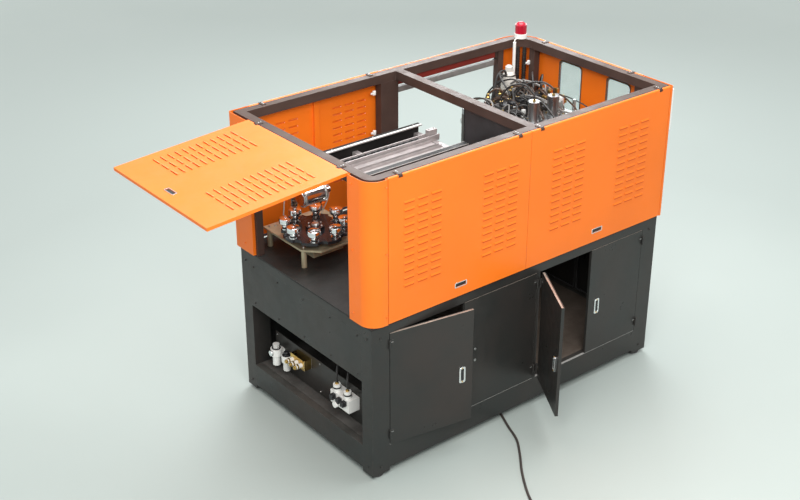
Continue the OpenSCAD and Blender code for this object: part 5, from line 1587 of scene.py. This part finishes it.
def unit_trim(x):
    """Knobs and gauge of the air preparation unit."""
    knobs = Shape().ring((x - 0.056, UNIT_Y, 0.388), UP, 0.0225, 0.03, 0.006, 28, 0.001)
    knobs.ring((x - 0.05, BOWL_Y, 0.384), UP, 0.015, 0.03, 0.002, 28, 0.0005)
    knobs.turned((x - 0.05, BOWL_Y, 0.3842), UP, mm(12, 0, 16, 4, 18, 22, 15, 26), 20)
    for u, v in around(x - 0.056, UNIT_Y, 0.0225, 10):
        knobs.rod((u, v, 0.3945), (u, v, 0.418), 0.0018, 6)
    knobs.done("air_unit_knobs", "black_plastic")
    Shape().turned((x - 0.0945, UNIT_Y, 0.362), LEFT, GAUGE, 28).done("air_unit_gauge", "chrome")


def valve_trim(x):
    """The brass block's coat and fittings, the valves' coils and the hoses of the bay."""
    brassy, hoses, coils = Shape(), Shape(), Shape()
    for y in (BLOCK_Y - 0.048, BLOCK_Y, BLOCK_Y + 0.048):
        brassy.union((x - 0.108, y, 0.402), LEFT, 0.016, 0.006, 0.011, 0.014, 6)
        brassy.ring((x - 0.0905, y, 0.402), LEFT, 0.0152, 0.018, 0.01, 24, 0.001)
    for y in (-0.375, -0.325, -0.265):
        coils.block((x - 0.118, y, 0.364), (x - 0.0842, y + 0.03, 0.398), 0.003)
    for y in VALVE_YS:
        brassy.union((x - VALVE_OUT, y, 0.458), UP, 0.012, 0.008, 0.008, 0.013)
        coils.ring((x - VALVE_OUT, y, 0.43), UP, 0.0242, 0.0262, 0.01, 28, 0.001)
        hoses.hose([(x + dx, y + dy, z) for dx, dy, z in VALVE_HOSE], 0.007, 10)
    brassy.block((x - 0.0616, 0.1136, 0.3656), (x - 0.0002, 0.2664, 0.4384), 0.003)
    brassy.done("base_brass_fittings", "brass")
    hoses.hose([(x + dx, y, z) for dx, y, z in BOWL_HOSE], 0.006, 10)
    hoses.done("base_air_hoses", "hose_rubber")
    coils.done("base_valve_coils", "black_plastic")


def plate_trim(x):
    """The paint on the plate behind the unit, and the plate's screws."""
    cover = Shape().block((x - 0.0012, -0.501, 0.2124), (x + 0.0047, 0.521, 0.463), THIN)
    cover.done("air_plate_coat", "charcoal")
    screws = Shape()
    for y in (-0.47, 0.02, 0.5):
        for z in (0.235, 0.445):
            screws.screw((x, y, z), LEFT, 0.0055)
    screws.done("air_plate_screws", "turned_steel")


# Add-on

GROUPS = (
    ("machine_paint", MachinePaint), ("machine_trim", MachineTrim), ("machine_cable", MachineCable),
    ("machine_stage", MachineStage),
)
STEPS = (
    MACHINE_OT_stage, MACHINE_OT_cable, MACHINE_OT_coats, MACHINE_OT_door_trim, MACHINE_OT_base_trim,
    MACHINE_OT_flap_trim, MACHINE_OT_top_frame, MACHINE_OT_signals, MACHINE_OT_wiring, MACHINE_OT_transfer,
    MACHINE_OT_oven, MACHINE_OT_clamp, MACHINE_OT_partition, MACHINE_OT_air_unit,
)


class MACHINE_PT_panel(bpy.types.Panel):
    """Lists the sizes and colours and the steps that dress the machine"""

    bl_idname = "MACHINE_PT_panel"
    bl_label = "Blow moulding machine"
    bl_space_type = "VIEW_3D"
    bl_region_type = "UI"
    bl_category = "Machine"

    def draw(self, context):
        for name, group in GROUPS:
            for size in group.__annotations__:
                self.layout.prop(getattr(context.scene, name), size)
        for step in STEPS:
            self.layout.operator(step.bl_idname)


def register():
    for name, group in GROUPS:
        bpy.utils.register_class(group)
        setattr(bpy.types.Scene, name, PointerProperty(type=group))
    for step in STEPS:
        bpy.utils.register_class(step)
    bpy.utils.register_class(MACHINE_PT_panel)


def unregister():
    bpy.utils.unregister_class(MACHINE_PT_panel)
    for step in reversed(STEPS):
        bpy.utils.unregister_class(step)
    for name, group in reversed(GROUPS):
        delattr(bpy.types.Scene, name)
        bpy.utils.unregister_class(group)


def main():
    register()
    for step in STEPS:
        category, name = step.bl_idname.split(".")
        getattr(getattr(bpy.ops, category), name)()


if __name__ == "__main__":
    main()
